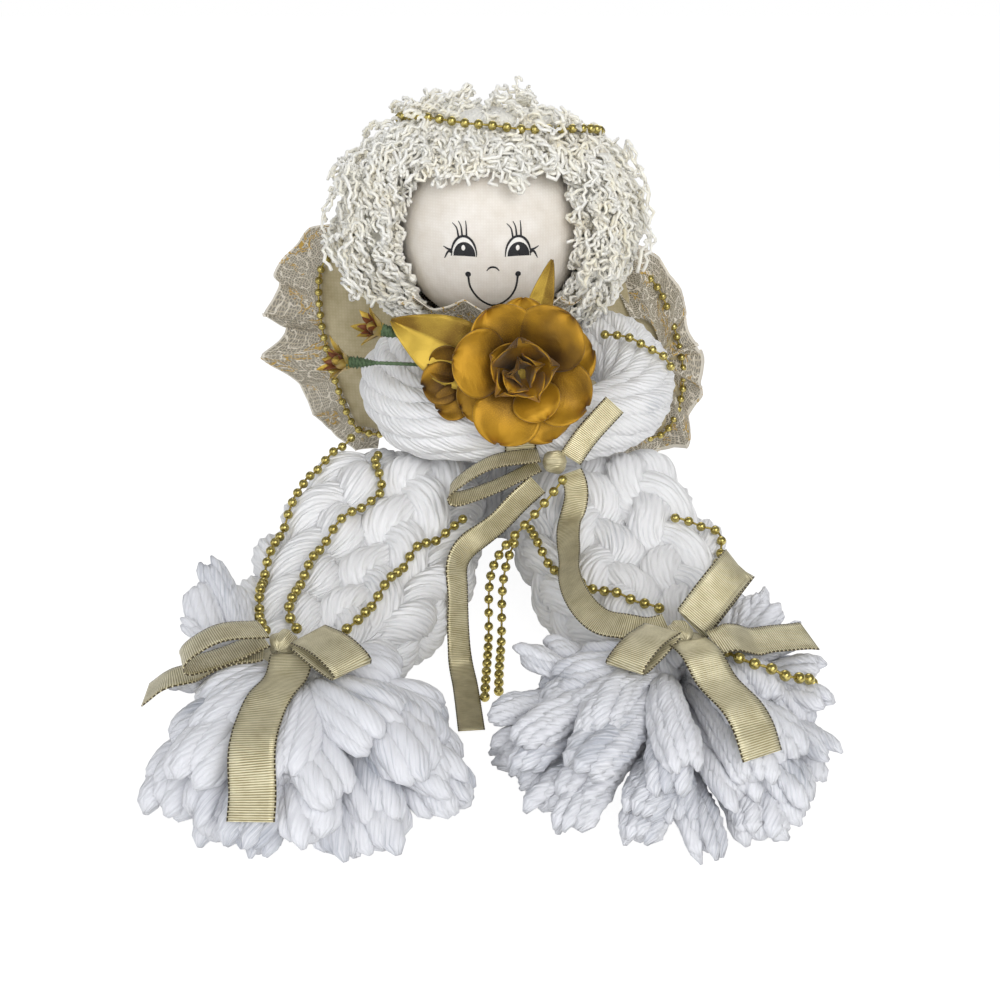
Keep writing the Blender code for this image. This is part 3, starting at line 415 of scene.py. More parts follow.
@dataclass(frozen=True)
class RibbonFinish(Finish):
    """Woven lame ribbon: fine cross ribs with gold thread, glints of the thread painted into its colour, and
    a dark dashed line down each edge.
    """

    edge: str
    width: float
    rib_mm: float = 0.75
    dash_mm: float = 1.5
    edge_mm: float = 0.5
    tone_mm: float = 6.25
    glint_mm: tuple[float, float] = (3.846, 0.3125)

    def look(self, add: AddNode, flat: Socket, solid: Socket) -> dict:
        """Ribs, partly the weave and partly painted shade and highlight, painted glints and dashed edges. U
        runs across the ribbon from edge to edge and V along it.
        """
        across, along, _ = add("SeparateXYZ", flat).outputs
        waves = []
        for size in (self.rib_mm, self.dash_mm):
            phase = add("Math", along, TURN * 1000 / size, operation="MULTIPLY")
            waves.append(add("Math", phase, operation="SINE"))
        ribs, dashes = waves
        clouds = add("TexNoise", flat, Scale=1000 / self.tone_mm, Detail=3.0)
        threads = add("Mapping", flat, Scale=(*(1000 / size for size in self.glint_mm), 1.0))
        painted_glints = add("TexNoise", threads, Scale=1.0, Detail=2.0)
        # The ribs lighten and darken the colour, partly the weave and partly painted shade and highlight; the
        # glints are painted highlights along the gold thread.
        tone = add("Math", ribs, 0.38, clouds, operation="MULTIPLY_ADD")
        tone_with_painted_glints = add("Math", painted_glints, 0.6, tone, operation="MULTIPLY_ADD")
        body = add("ValToRGB", tone_with_painted_glints, stops=((0.55, self.shade), (1.0, self.light)))
        middle = add("Math", across, self.width / 2, operation="SUBTRACT")
        apart = add("Math", middle, operation="ABSOLUTE")
        border = add("Math", apart, self.width / 2 - self.edge_mm / 1000, operation="GREATER_THAN")
        dashed = add("Math", dashes, -0.5, operation="GREATER_THAN")
        dark = add("Math", border, dashed, operation="MULTIPLY")
        colour = add("Mix", dark, data_type="RGBA", A_Color=body, B_Color=linear(self.edge))
        bump = add("Bump", Strength=0.35, Distance=0.0003, Height=ribs)
        return dict(Base_Color=colour.outputs[2], Normal=bump, Roughness=0.36, Metallic=0.55,
                    Sheen_Weight=0.1)


@dataclass(frozen=True)
class BeadFinish(Finish):
    """Vacuum-metallised plastic: a dark gold mirror, with small flaws in the coat."""

    roughness: float = 0.2
    flaw_mm: float = 1.667

    def look(self, add: AddNode, flat: Socket, solid: Socket) -> dict:
        """Fine noise dulls the coat here and there."""
        wear = add("TexNoise", solid, Scale=1000 / self.flaw_mm, Detail=2.0)
        colour = add("ValToRGB", wear, stops=((0.3, self.shade), (0.7, self.light)))
        dull = add("Math", wear, 0.16, self.roughness - 0.08, operation="MULTIPLY_ADD")
        return dict(Base_Color=colour, Roughness=dull, Metallic=1.0)


@dataclass(frozen=True)
class PaintFinish(Finish):
    """A matt coat with a faint grain: printing ink on cloth, or paper wrapped round wire."""

    grain_mm: float

    def look(self, add: AddNode, flat: Socket, solid: Socket) -> dict:
        """Noise at the grain's size mottles the coat and roughens it."""
        grain = add("TexNoise", solid, Scale=1000 / self.grain_mm, Detail=2.0)
        colour = add("ValToRGB", grain, stops=((0.3, self.shade), (0.7, self.light)))
        bump = add("Bump", Strength=0.2, Distance=0.0002, Height=grain)
        return dict(Base_Color=colour, Normal=bump, Roughness=0.7)


WHITE_YARN = YarnFinish("carded_white_acrylic_yarn", "#F5F5F6", "#C2C5CB", ply_share=0.18, ply_bump=0.8)
# The combed ends are the same white yarn, coloured greyer here as painted shade that holds down the feet,
# which face the lamps.
COMBED_YARN = YarnFinish("combed_white_acrylic_ends", "#E2E3E8", "#A6ABB6", 1.6, 0.36, 22.0, 22.0,
                         0.10, 0.8, 0.3)
CREAM_CURLS = CurlFinish("looped_cream_boucle_yarn", "#FFFCF0", "#FBECCB")
HEAD_MUSLIN = WovenFinish("woven_muslin", "#F3EEE7", "#E2DACF")
# The wing cotton is coloured a darker tan than the cream cloth, partly its own beige and partly painted shade
# for the wings that sit behind the hair and arms.
WING_COTTON = WovenFinish("woven_cream_cotton", "#C4B896", "#A39570", 0.8, 0.3)
GOLD_LACE = LaceFinish("machine_lace_with_gold_thread", "#C3BAA7", "#8D8573", "#EAE3D5", "#C4A048")
ROSE_SATIN = SatinFinish("dyed_gold_satin", "#B58612", "#4A2F00", 0.55)
LEAF_SATIN = SatinFinish("pale_gold_satin", "#C6A63E", "#6A4A04", 0.55)
BUD_SATIN = SatinFinish("olive_gold_satin", "#C2A23E", "#5C4A12", 0.4)
BROWN_SATIN = SatinFinish("russet_satin", "#7A4420", "#2E1608", 0.1)
WIDE_LAME = RibbonFinish("wide_woven_lame_ribbon", "#E2DABA", "#9C9168", "#4A3F28", 0.0145)
NARROW_LAME = RibbonFinish("narrow_woven_lame_ribbon", "#E4DBB8", "#9C9066", "#4A3F28", 0.010)
GOLD_BEADS = BeadFinish("metallised_gold_beads", "#C8BA74", "#9A8A4A")
GOLD_THREAD = BeadFinish("spun_gold_thread", "#C6B468", "#988440", 0.4)
STEM_GREEN = PaintFinish("paper_wrapped_stem_wire", "#6C8560", "#465C40", 0.8)
BLACK_INK = PaintFinish("printed_black_ink", "#26262A", "#151518", 0.5)
WHITE_INK = PaintFinish("printed_white_ink", "#FAF8F4", "#EFEBE4", 0.5)


# Meshes

def new_object(name: str, data: bpy.types.ID) -> Object:
    """Add an object to the scene."""
    obj = bpy.data.objects.new(name, data)
    bpy.context.scene.collection.objects.link(obj)
    return obj


def only(obj: Object) -> None:
    """Make an object the only selected one, and the active one."""
    bpy.ops.object.select_all(action="DESELECT")
    obj.select_set(True)
    bpy.context.view_layer.objects.active = obj


def corners(obj: Object) -> Array:
    """Return a mesh object's points."""
    flat = np.empty(len(obj.data.vertices) * 3)
    obj.data.vertices.foreach_get("co", flat)
    return flat.reshape(-1, 3)


def move_corners(obj: Object, points: Array) -> None:
    """Move a mesh object's points."""
    obj.data.vertices.foreach_set("co", points.astype(np.float32).ravel())
    obj.data.update()


def thicken(obj: Object, thickness: float) -> None:
    """Give a sheet its cloth thickness, half to each side, and apply it."""
    only(obj)
    modifier = obj.modifiers.new("cloth_thickness", "SOLIDIFY")
    modifier.thickness = thickness
    modifier.offset = 0.0
    bpy.ops.object.modifier_apply(modifier=modifier.name)


class Skin:
    """Gathers tubes, strips and balls and turns them into the mesh of one piece."""

    def __init__(self) -> None:
        """Start with nothing gathered."""
        self.points: list[Array] = []
        self.tints: list[Array] = []
        self.loops: list[Array] = []
        self.uvs: list[Array] = []
        self.sizes: list[Array] = []
        self.slots: list[Array] = []
        self.used = 0

    def add_points(self, points: Array, tint: Array | float) -> int:
        """Add points with their tint and return the number of the first."""
        first = self.used
        self.points.append(points.reshape(-1, 3))
        self.tints.append(np.broadcast_to(tint, len(self.points[-1])))
        self.used += len(self.points[-1])
        return first

    def add_faces(self, faces: Array, uvs: Array, slot: int) -> None:
        """Add faces with the same number of corners, with their UVs and material slot."""
        self.loops.append(faces.ravel())
        self.uvs.append(uvs.reshape(-1, 2))
        self.sizes.append(np.full(len(faces), faces.shape[1]))
        self.slots.append(np.full(len(faces), slot))

    def grid(self, rows: Array, across: Array, along: Array, tube: bool = False, slot: int = 0,
             tint: Array | float = 0.5, slant: float = 0.0) -> None:
        """Add a sheet, or a tube with closed ends, of quads.

        Args:
            rows: points in n rows of k columns.
            across: U at each column edge, one more than the columns of faces.
            along: V at each row.
            tube: whether the last column joins the first, with the first and last rows closed.
            slot: material slot of the faces.
            tint: value of the tint attribute, for all points or for each.
            slant: how far U moves with V, so that streaks run at an angle.
        """
        n, k = rows.shape[:2]
        index = self.add_points(rows, tint) + np.arange(n * k).reshape(n, k)
        left = index if tube else index[:, :-1]
        right = np.roll(index, -1, axis=1) if tube else index[:, 1:]
        faces = np.stack([left[:-1], right[:-1], right[1:], left[1:]], axis=-1).reshape(-1, 4)
        u = np.stack([across[:-1], across[1:], across[1:], across[:-1]], axis=-1)
        v = np.stack([along[:-1], along[:-1], along[1:], along[1:]], axis=-1)
        uv = np.empty((n - 1, len(u), 4, 2))
        uv[..., 0] = u[None] + slant * v[:, None]
        uv[..., 1] = v[:, None]
        self.add_faces(faces, uv.reshape(-1, 4, 2), slot)
        if tube:
            flat = np.stack([across[:k], np.zeros(k)], axis=-1)[None]
            self.add_faces(index[:1, ::-1], flat + (0.0, along[0]), slot)
            self.add_faces(index[-1:], flat + (0.0, along[-1]), slot)

    def yarn(self, path: Array, out: Array, radius: Array | float, pitch: float, lobes: int = 3,
             depth: float = 0.16, sides: int = 12, start: float = 0.0, slot: int = 0, tint: float = 0.5,
             squash: float = 1.0) -> None:
        """Add a plied yarn: a tube whose lobed section turns as it goes.

        Args:
            path: the yarn's centre line.
            out: a vector across the line, or one per point.
            radius: the yarn's radius, or one per point.
            pitch: length of one full turn of the plies.
            lobes: number of plies.
            depth: how deep the grooves between the plies are, as a share of the radius.
            sides: corners of the section.
            start: angle of the first ply at the start.
            slot: material slot.
            tint: value of the tint attribute, which also gives each yarn streaks of its own.
            squash: the section's size along the outward vector, as a share of its width.
        """
        _, normal, side = frames(path, out)
        along = lengths(path)
        column = TURN * np.arange(sides) / sides
        angle = column[None] + (start + TURN * along / pitch)[:, None]
        reach = np.broadcast_to(radius, len(path))[:, None] * (1.0 + depth * np.cos(lobes * column))[None]
        rows = path[:, None] + reach[..., None] * (np.cos(angle)[..., None] * squash * normal[:, None]
                                                   + np.sin(angle)[..., None] * side[:, None])
        girth = max(1, round(TURN * float(np.mean(radius)) / PLY)) * PLY
        self.grid(rows, np.linspace(0.0, girth, sides + 1), along + 7.3 * tint, True, slot, tint, FIBRE_SLANT)

    def copies(self, points: Array, triangles: Array, places: Array, turns: Array) -> None:
        """Add one copy of a small form at each place, turned by the matrix given for it."""
        placed = np.einsum("nij,pj->npi", turns, points) + places[:, None]
        steps = self.add_points(placed, 0.5) + len(points) * np.arange(len(places))
        faces = (triangles[None] + steps[:, None, None]).reshape(-1, 3)
        self.add_faces(faces, np.zeros((len(faces), 3, 2)), 0)

    def piece(self, name: str, *finishes: Finish, thickness: float = 0.0) -> Object:
        """Make the gathered mesh an object with its materials, and with a thickness if it is a sheet."""
        mesh = bpy.data.meshes.new(name)
        points, loops = np.concatenate(self.points), np.concatenate(self.loops)
        sizes = np.concatenate(self.sizes)
        mesh.vertices.add(len(points))
        mesh.vertices.foreach_set("co", points.astype(np.float32).ravel())
        mesh.loops.add(len(loops))
        mesh.loops.foreach_set("vertex_index", loops.astype(np.int32))
        mesh.polygons.add(len(sizes))
        starts = np.concatenate([[0], np.cumsum(sizes)[:-1]])
        mesh.polygons.foreach_set("loop_start", starts.astype(np.int32))
        mesh.polygons.foreach_set("material_index", np.concatenate(self.slots).astype(np.int32))
        layer = mesh.uv_layers.new(name="UVMap")
        layer.data.foreach_set("uv", np.concatenate(self.uvs).astype(np.float32).ravel())
        tint = mesh.attributes.new("tint", "FLOAT", "POINT")
        tint.data.foreach_set("value", np.concatenate(self.tints).astype(np.float32))
        mesh.update(calc_edges=True)
        mesh.shade_smooth()
        for finish in finishes:
            mesh.materials.append(finish.material())
        obj = new_object(name, mesh)
        if thickness:
            thicken(obj, thickness)
        return obj


# What the frame says, and how pieces go on to it

def seat(obj: Object, body: str, slot: Slot, *nodes: str) -> Object:
    """Give a finished piece its body and hide the nodes that it stands for."""
    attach(obj, body)
    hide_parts(*nodes)
    LOG.info("%s: %d faces on %s", obj.name, len(obj.data.polygons), body)
    return obj


def hang(obj: Object, leg: str, node: str) -> None:
    """Bake a finished piece's place into its mesh and hide its node; the leg only goes into the log."""
    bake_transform(obj)
    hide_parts(node)
    LOG.info("%s: %d faces between torso and %s", obj.name, len(obj.data.polygons), leg)


def joint_place(name: str) -> Array:
    """Return a joint's place in the frame."""
    return np.array(next(j for j in frame["joints"] if j["name"] == name)["pos_m"], float)


def middle_of(node: str) -> Array:
    """Return the middle of a node's box."""
    low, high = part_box(node)
    return (np.array(low) + np.array(high)) / 2


# Laying soft pieces on what carries them

def surface_of(*objects: Object) -> BVHTree:
    """Return one search tree over the surface of some objects."""
    points, faces = [], []
    for obj in objects:
        first = len(points)
        points.extend(v.co.copy() for v in obj.data.vertices)
        faces.extend(tuple(first + k for k in p.vertices) for p in obj.data.polygons)
    return BVHTree.FromPolygons(points, faces)


def push_out(point: Vector, shapes: Iterable[BVHTree], clearance: float) -> Vector:
    """Return the move that takes a point clear of shapes."""
    move = Vector((0.0, 0.0, 0.0))
    for shape in shapes:
        found, normal, _, distance = shape.find_nearest(point + move)
        offset = point + move - found
        if offset.dot(normal) < 0.0 and distance < DEEPEST:
            move += found + normal * clearance - (point + move)
        elif distance < clearance:
            move += (offset.normalized() if distance > 1e-7 else normal) * (clearance - distance)
    return move


def lay(path: Array, shapes: Sequence[BVHTree], clearance: float, turns: int = 13, last: int = 4) -> Array:
    """Lay a cord's line on shapes: eased, then pushed clear, several times over.

    Args:
        path: the line's points.
        shapes: what carries the line.
        clearance: least distance from the line to a shape, and to the floor.
        turns: how often the line is pushed.
        last: how many of the last turns don't ease it.
    Returns:
        The laid points.
    """
    laid = path.copy()
    for turn in range(turns):
        if 0 < turn < turns - last:
            ease(laid)
        for k in range(len(laid)):
            laid[k] += np.array(push_out(Vector(laid[k]), shapes, clearance))
            laid[k, 2] = max(laid[k, 2], clearance)
    return laid


def lift_over(path: Array, across: Array, width: float, surfaces: Sequence[BVHTree], clearance: float,
              reach: float = 0.016, give: float = 0.004) -> Array:
    """Return how far a ribbon has to move at each point to lie on what is below it.

    Args:
        path: the ribbon's middle line.
        across: its width direction at each point.
        width: its width.
        surfaces: trees over the yarn and over ribbons laid before.
        clearance: its least distance from them.
        reach: how far above the line they are looked for.
        give: how far below the line they are looked for.
    Returns:
        The distances along TOWARDS_EYE.
    """
    wide = frames(path, across)[1]
    need = np.full(len(path), -np.inf)
    for k, point in enumerate(path):
        for share in np.linspace(-0.55, 0.55, 7):
            start = Vector(point + wide[k] * width * share + TOWARDS_EYE * reach)
            for surface in surfaces:
                hit = surface.ray_cast(start, Vector(-TOWARDS_EYE), reach + give)
                if hit[0] is not None:
                    need[k] = max(need[k], reach - hit[3] + clearance)
    return np.where(np.isfinite(need), need, 0.0)


def bridge(path: Array, need: Array, slope: float) -> Array:
    """Return a path moved towards the eye by what it needs, bridging dips steeper than a slope."""
    held = need.copy()
    gaps = slope * np.linalg.norm(np.diff(path, axis=0), axis=1)
    for k in range(1, len(held)):
        held[k] = max(held[k], held[k - 1] - gaps[k - 1])
    for k in range(len(held) - 2, -1, -1):
        held[k] = max(held[k], held[k + 1] - gaps[k])
    soft = np.convolve(np.pad(held, 1, mode="edge"), (0.25, 0.5, 0.25), mode="valid")
    return path + TOWARDS_EYE * soft[:, None]


def stuff(obj: Object, finish: Finish, voxel: float, pressure: float, cap: float,
          sewn: Callable[[Array], Array], steps: int = 20) -> None:
    """Args:
        obj: the closed piece, which is remeshed.
        finish: its cloth.
        voxel: size of the new mesh.
        pressure: how hard the stuffing pushes.
        cap: the furthest that a point may move.
        sewn: tells from the points which of them a seam holds.
        steps: length of the simulation in frames.
    """
    only(obj)
    obj.data.remesh_voxel_size = voxel
    bpy.ops.object.voxel_remesh()
    start = corners(obj)
    seam = obj.vertex_groups.new(name="seam")
    seam.add([int(k) for k in np.nonzero(sewn(start))[0]], 1.0, "REPLACE")
    cloth = obj.modifiers.new("stuffing", "CLOTH")
    cloth.settings.use_pressure = True
    cloth.settings.uniform_pressure_force = pressure
    cloth.settings.effector_weights.gravity = 0.0
    cloth.settings.vertex_group_mass = seam.name
    cloth.point_cache.frame_start = 1
    cloth.point_cache.frame_end = steps
    for step in range(1, steps + 1):
        bpy.context.scene.frame_set(step)
    bpy.ops.object.modifier_apply(modifier=cloth.name)
    bpy.context.scene.frame_set(1)
    moved = corners(obj) - start
    far = np.linalg.norm(moved, axis=1, keepdims=True)
    move_corners(obj, start + moved * np.minimum(1.0, cap / np.maximum(far, 1e-9)))
    obj.vertex_groups.clear()
    round_off = obj.modifiers.new("round_off", "SUBSURF")
    round_off.levels = 1
    round_off.render_levels = 1
    bpy.ops.object.modifier_apply(modifier=round_off.name)
    obj.data.shade_smooth()
    obj.data.materials.clear()
    obj.data.materials.append(finish.material())


# Body and arms

@dataclass
class YarnBody:
    """The upright skein of yarn behind the legs, bound at the neck."""

    yarns: int = 30
    yarn_radius: float = 0.0042
    twist: float = 0.034
    low: float = 0.0006
    steps: int = 44
    square: float = 0.77
    core: float = 0.86
    # Share of the height, front and rear in Y, and share of the width.
    shares: Sequence = ((0.0, -0.012, 0.034, 0.86), (0.30, -0.019, 0.040, 1.0), (0.48, -0.024, 0.040, 1.0),
                        (0.62, -0.034, 0.040, 1.0), (0.77, -0.034, 0.040, 0.95), (0.89, -0.029, 0.033, 0.76),
                        (0.96, -0.020, 0.023, 0.52), (1.0, -0.013, 0.014, 0.34))

    def sections(self) -> Array:
        """Return rows of height, middle in Y, half depth and half width, taken from the node's box."""
        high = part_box("body_bundle")[1]
        rows = []
        for share, front, rear, width in self.shares:
            rear = min(rear, high.y)
            rows.append((self.low + share * (high.z - self.low), (front + rear) / 2, (rear - front) / 2,
                         high.x * width))
        return np.array(rows)

    def build(self, rng: Random) -> Object:
        """Build the skein as yarns that run from the seat up to the neck round a plain core."""
        skin = Skin()
        height, middle, deep, wide = resample(self.sections(), self.steps).T
        for k in range(self.yarns):
            turn = TURN * (k + 0.25 * rng.uniform(-1, 1)) / self.yarns + 0.25 * np.linspace(0, 1, self.steps)
            c, s = np.cos(turn), np.sin(turn)
            path = np.stack([squared(c, self.square) * (wide - self.yarn_radius * 0.8),
                             middle + squared(s, self.square) * (deep - self.yarn_radius * 0.8),
                             np.maximum(height, self.yarn_radius + 0.0002)], axis=1)
            out = np.stack([c, s, np.zeros(self.steps)], axis=1)
            fat = self.yarn_radius * (0.55 + 0.45 * wide / wide.max())
            skin.yarn(path, out, fat, self.twist, start=rng.uniform(0, TURN), tint=rng.uniform(0.2, 0.8))
        ring = TURN * np.arange(24) / 24
        core = np.stack([wide[:, None] * self.core * np.cos(ring),
                         middle[:, None] + deep[:, None] * self.core * np.sin(ring),
                         np.repeat(height[:, None], len(ring), axis=1)], axis=-1)
        skin.grid(core, np.linspace(0, 0.2, len(ring) + 1), height, True)
        return seat(skin.piece("body_yarn_skein", WHITE_YARN), "torso", Slot.YARN, "body_bundle")


@dataclass
class YarnArm:
    """One thick skein of yarn that bends round to the hands."""

    side: Side
    route: Sequence
    radius: float = 0.0162
    yarns: int = 10
    yarn_radius: float = 0.0052
    twist: float = 0.062
    hands: tuple = (13, -70, 82)

    def build(self, rng: Random) -> Object:
        """Build the arm as yarns laid side by side round its line, with a slow turn."""
        skin = Skin()
        path = smooth_path(mm((*self.route, self.hands)), 76)
        share = np.linspace(0.0, 1.0, len(path))
        full = self.radius * (0.86 + 0.14 * np.sin(math.pi * np.minimum(1.0, 0.12 + share)))
        full *= 1.0 - 0.34 * np.clip((share - 0.86) / 0.14, 0, 1) ** 1.5
        _, normal, sideways = frames(path, UP)
        for k in range(self.yarns):
            turn = TURN * k / self.yarns + 2.4 * self.side.value * share + rng.uniform(-0.08, 0.08)
            out = around(turn, normal, sideways)
            wobble = 0.0005 * np.sin(TURN * (share * rng.uniform(1.5, 3) + rng.uniform()))
            fat = self.yarn_radius * full / self.radius * rng.uniform(0.9, 1.12)
            line = path + out * (full - fat * 0.92 + wobble)[:, None]
            # Painted light: the arm's yarns take tints from the light end, so the arms, shaded by the head
            # and hair, come out lighter than the other yarn of the same finish.
            skin.yarn(line, out, fat, self.twist * rng.uniform(0.9, 1.15), 6, 0.07, 24, rng.uniform(0, TURN),
                      tint=rng.uniform(0.6, 1.0))
        skin.yarn(path, UP, full * 0.72, 0.2, depth=0.05)
        name = f"arm_yarn_{self.side.word}"
        return seat(skin.piece(name, WHITE_YARN), "torso", Slot.YARN, f"arm_{self.side.word}")


# Legs and feet

@dataclass
class PlaitedLeg:
    """One wide leg: plaits of plied yarn side by side round a soft core."""

    side: Side
    inner_x: float
    stations: Sequence
    root_width: float = 0.082
    hip_radius: float = 0.032
    # How far the root is drawn in behind the hip, in Y and in height, so that it clears the arm.
    root_tuck: tuple[float, float] = (0.0066, 0.0020)
    power: float = 3.0
    twist: float = 0.11
    plaits: int = 6
    period: float = 0.086
    sway: float = 0.0102
    dip: float = 0.0036
    strand: float = 0.0090
    squash: float = 0.76
    steps: int = 88
    core_sides: int = 28

    def sections(self) -> Array:
        """Return rows of Y, X, half width, low and high from the hip to the ankle."""
        hip = joint_place(f"hip_{self.side.word}")
        x = self.inner_x + self.side.value * self.root_width / 2
        rows = []
        for degrees, share in ((8, 0.84), (25, 0.93), (45, 0.98), (68, 1.0), (90, 1.0)):
            turn = math.radians(degrees)
            half = self.hip_radius * math.sin(turn)
            rows.append((hip[1] + self.hip_radius * math.cos(turn), x, self.root_width / 2 * share,
                         hip[2] - half, hip[2] + half))
        rows = smooth_path(np.vstack([rows, mm(self.stations)]), self.steps)
        behind = np.clip((rows[:, 0] - hip[1]) / self.hip_radius, 0, 1)
        rows[:, 0] -= self.root_tuck[0] * behind
        rows[:, 4] -= self.root_tuck[1] * behind
        return rows

    def girdle(self, row: Array, inset: float, share: Array) -> tuple[Array, Array, float]:
        """Return points and outward normals at shares of a section's girth, and the girth."""
        y, x, half_wide, low, high = row
        a, b = max(half_wide - inset, 0.002), max((high - low) / 2 - inset, 0.0008)
        t = np.linspace(-math.pi / 2, 1.5 * math.pi, 241)
        flat = np.stack([squared(np.cos(t), 2 / self.power) * a, squared(np.sin(t), 2 / self.power) * b,
                         np.zeros_like(t)], axis=1)
        arc = lengths(flat)
        px, pz = (np.interp(share * arc[-1], arc, flat[:, k]) for k in (0, 1))
        normals = np.stack([squared(px / a, self.power - 1) / a, np.zeros_like(px),
                            squared(pz / b, self.power - 1) / b], axis=1)
        points = np.stack([x + px, np.full_like(px, y), (low + high) / 2 + pz], axis=1)
        return points, unit(normals), arc[-1]

    def build(self, rng: Random) -> Object:
        """Build the plaits, each of three strands of yarn that cross over one another."""
        rows = self.sections()
        girth = np.array([self.girdle(row, 0.0, np.zeros(1))[2] for row in rows])
        fit = np.clip(girth / girth.max(), 0.42, 1.0)
        inset = (self.dip + self.strand * self.squash - 0.0006) * fit
        shares = (np.arange(self.plaits) + 0.5) / self.plaits
        rings = np.array([self.girdle(row, gap, shares)[:2] for row, gap in zip(rows, inset)])
        skin = Skin()
        for k in range(self.plaits):
            self.plait(skin, rings[:, 0, k], rings[:, 1, k], fit, 1 if k % 2 else -1, rng)
        shares = np.arange(self.core_sides) / self.core_sides
        core = np.stack([self.girdle(row, 2.0 * gap, shares)[0] for row, gap in zip(rows, inset)])
        skin.grid(core, np.linspace(0, girth.max(), self.core_sides + 1), lengths(rows), True)
        leg = f"leg_{self.side.word}"
        return seat(skin.piece(f"leg_plaits_{self.side.word}", WHITE_YARN), leg, Slot.YARN, leg)

    def plait(self, skin: Skin, path: Array, out: Array, fit: Array, lean: int, rng: Random) -> None:
        """Add one plait along a line.

        Args:
            skin: gathers the yarns.
            path: the plait's middle line.
            out: the outward normal at each point.
            fit: how much narrower the plait is at each point.
            lean: which way the strands cross.
            rng: source of small irregularities.
        """
        along = lengths(path)
        _, normal, sideways = frames(path, out)
        phase = rng.uniform(0, TURN)
        for strand in range(3):
            turn = TURN * along / self.period + TURN * strand / 3 + phase
            shift = (self.sway * fit * np.sin(turn) * lean)[:, None] * sideways
            line = path + shift + (self.dip * fit * np.sin(2 * turn))[:, None] * normal
            line[:, 2] = np.maximum(line[:, 2], self.strand * 0.6)
            fat = self.strand * (0.12 + 0.88 * fit) * (1 + 0.06 * np.sin(3 * turn + rng.uniform(0, TURN)))
            skin.yarn(line, normal, fat, self.twist * lean * rng.uniform(0.9, 1.1), 10, 0.075, 40,
                      rng.uniform(0, TURN), tint=rng.uniform(0.2, 0.8), squash=self.squash)


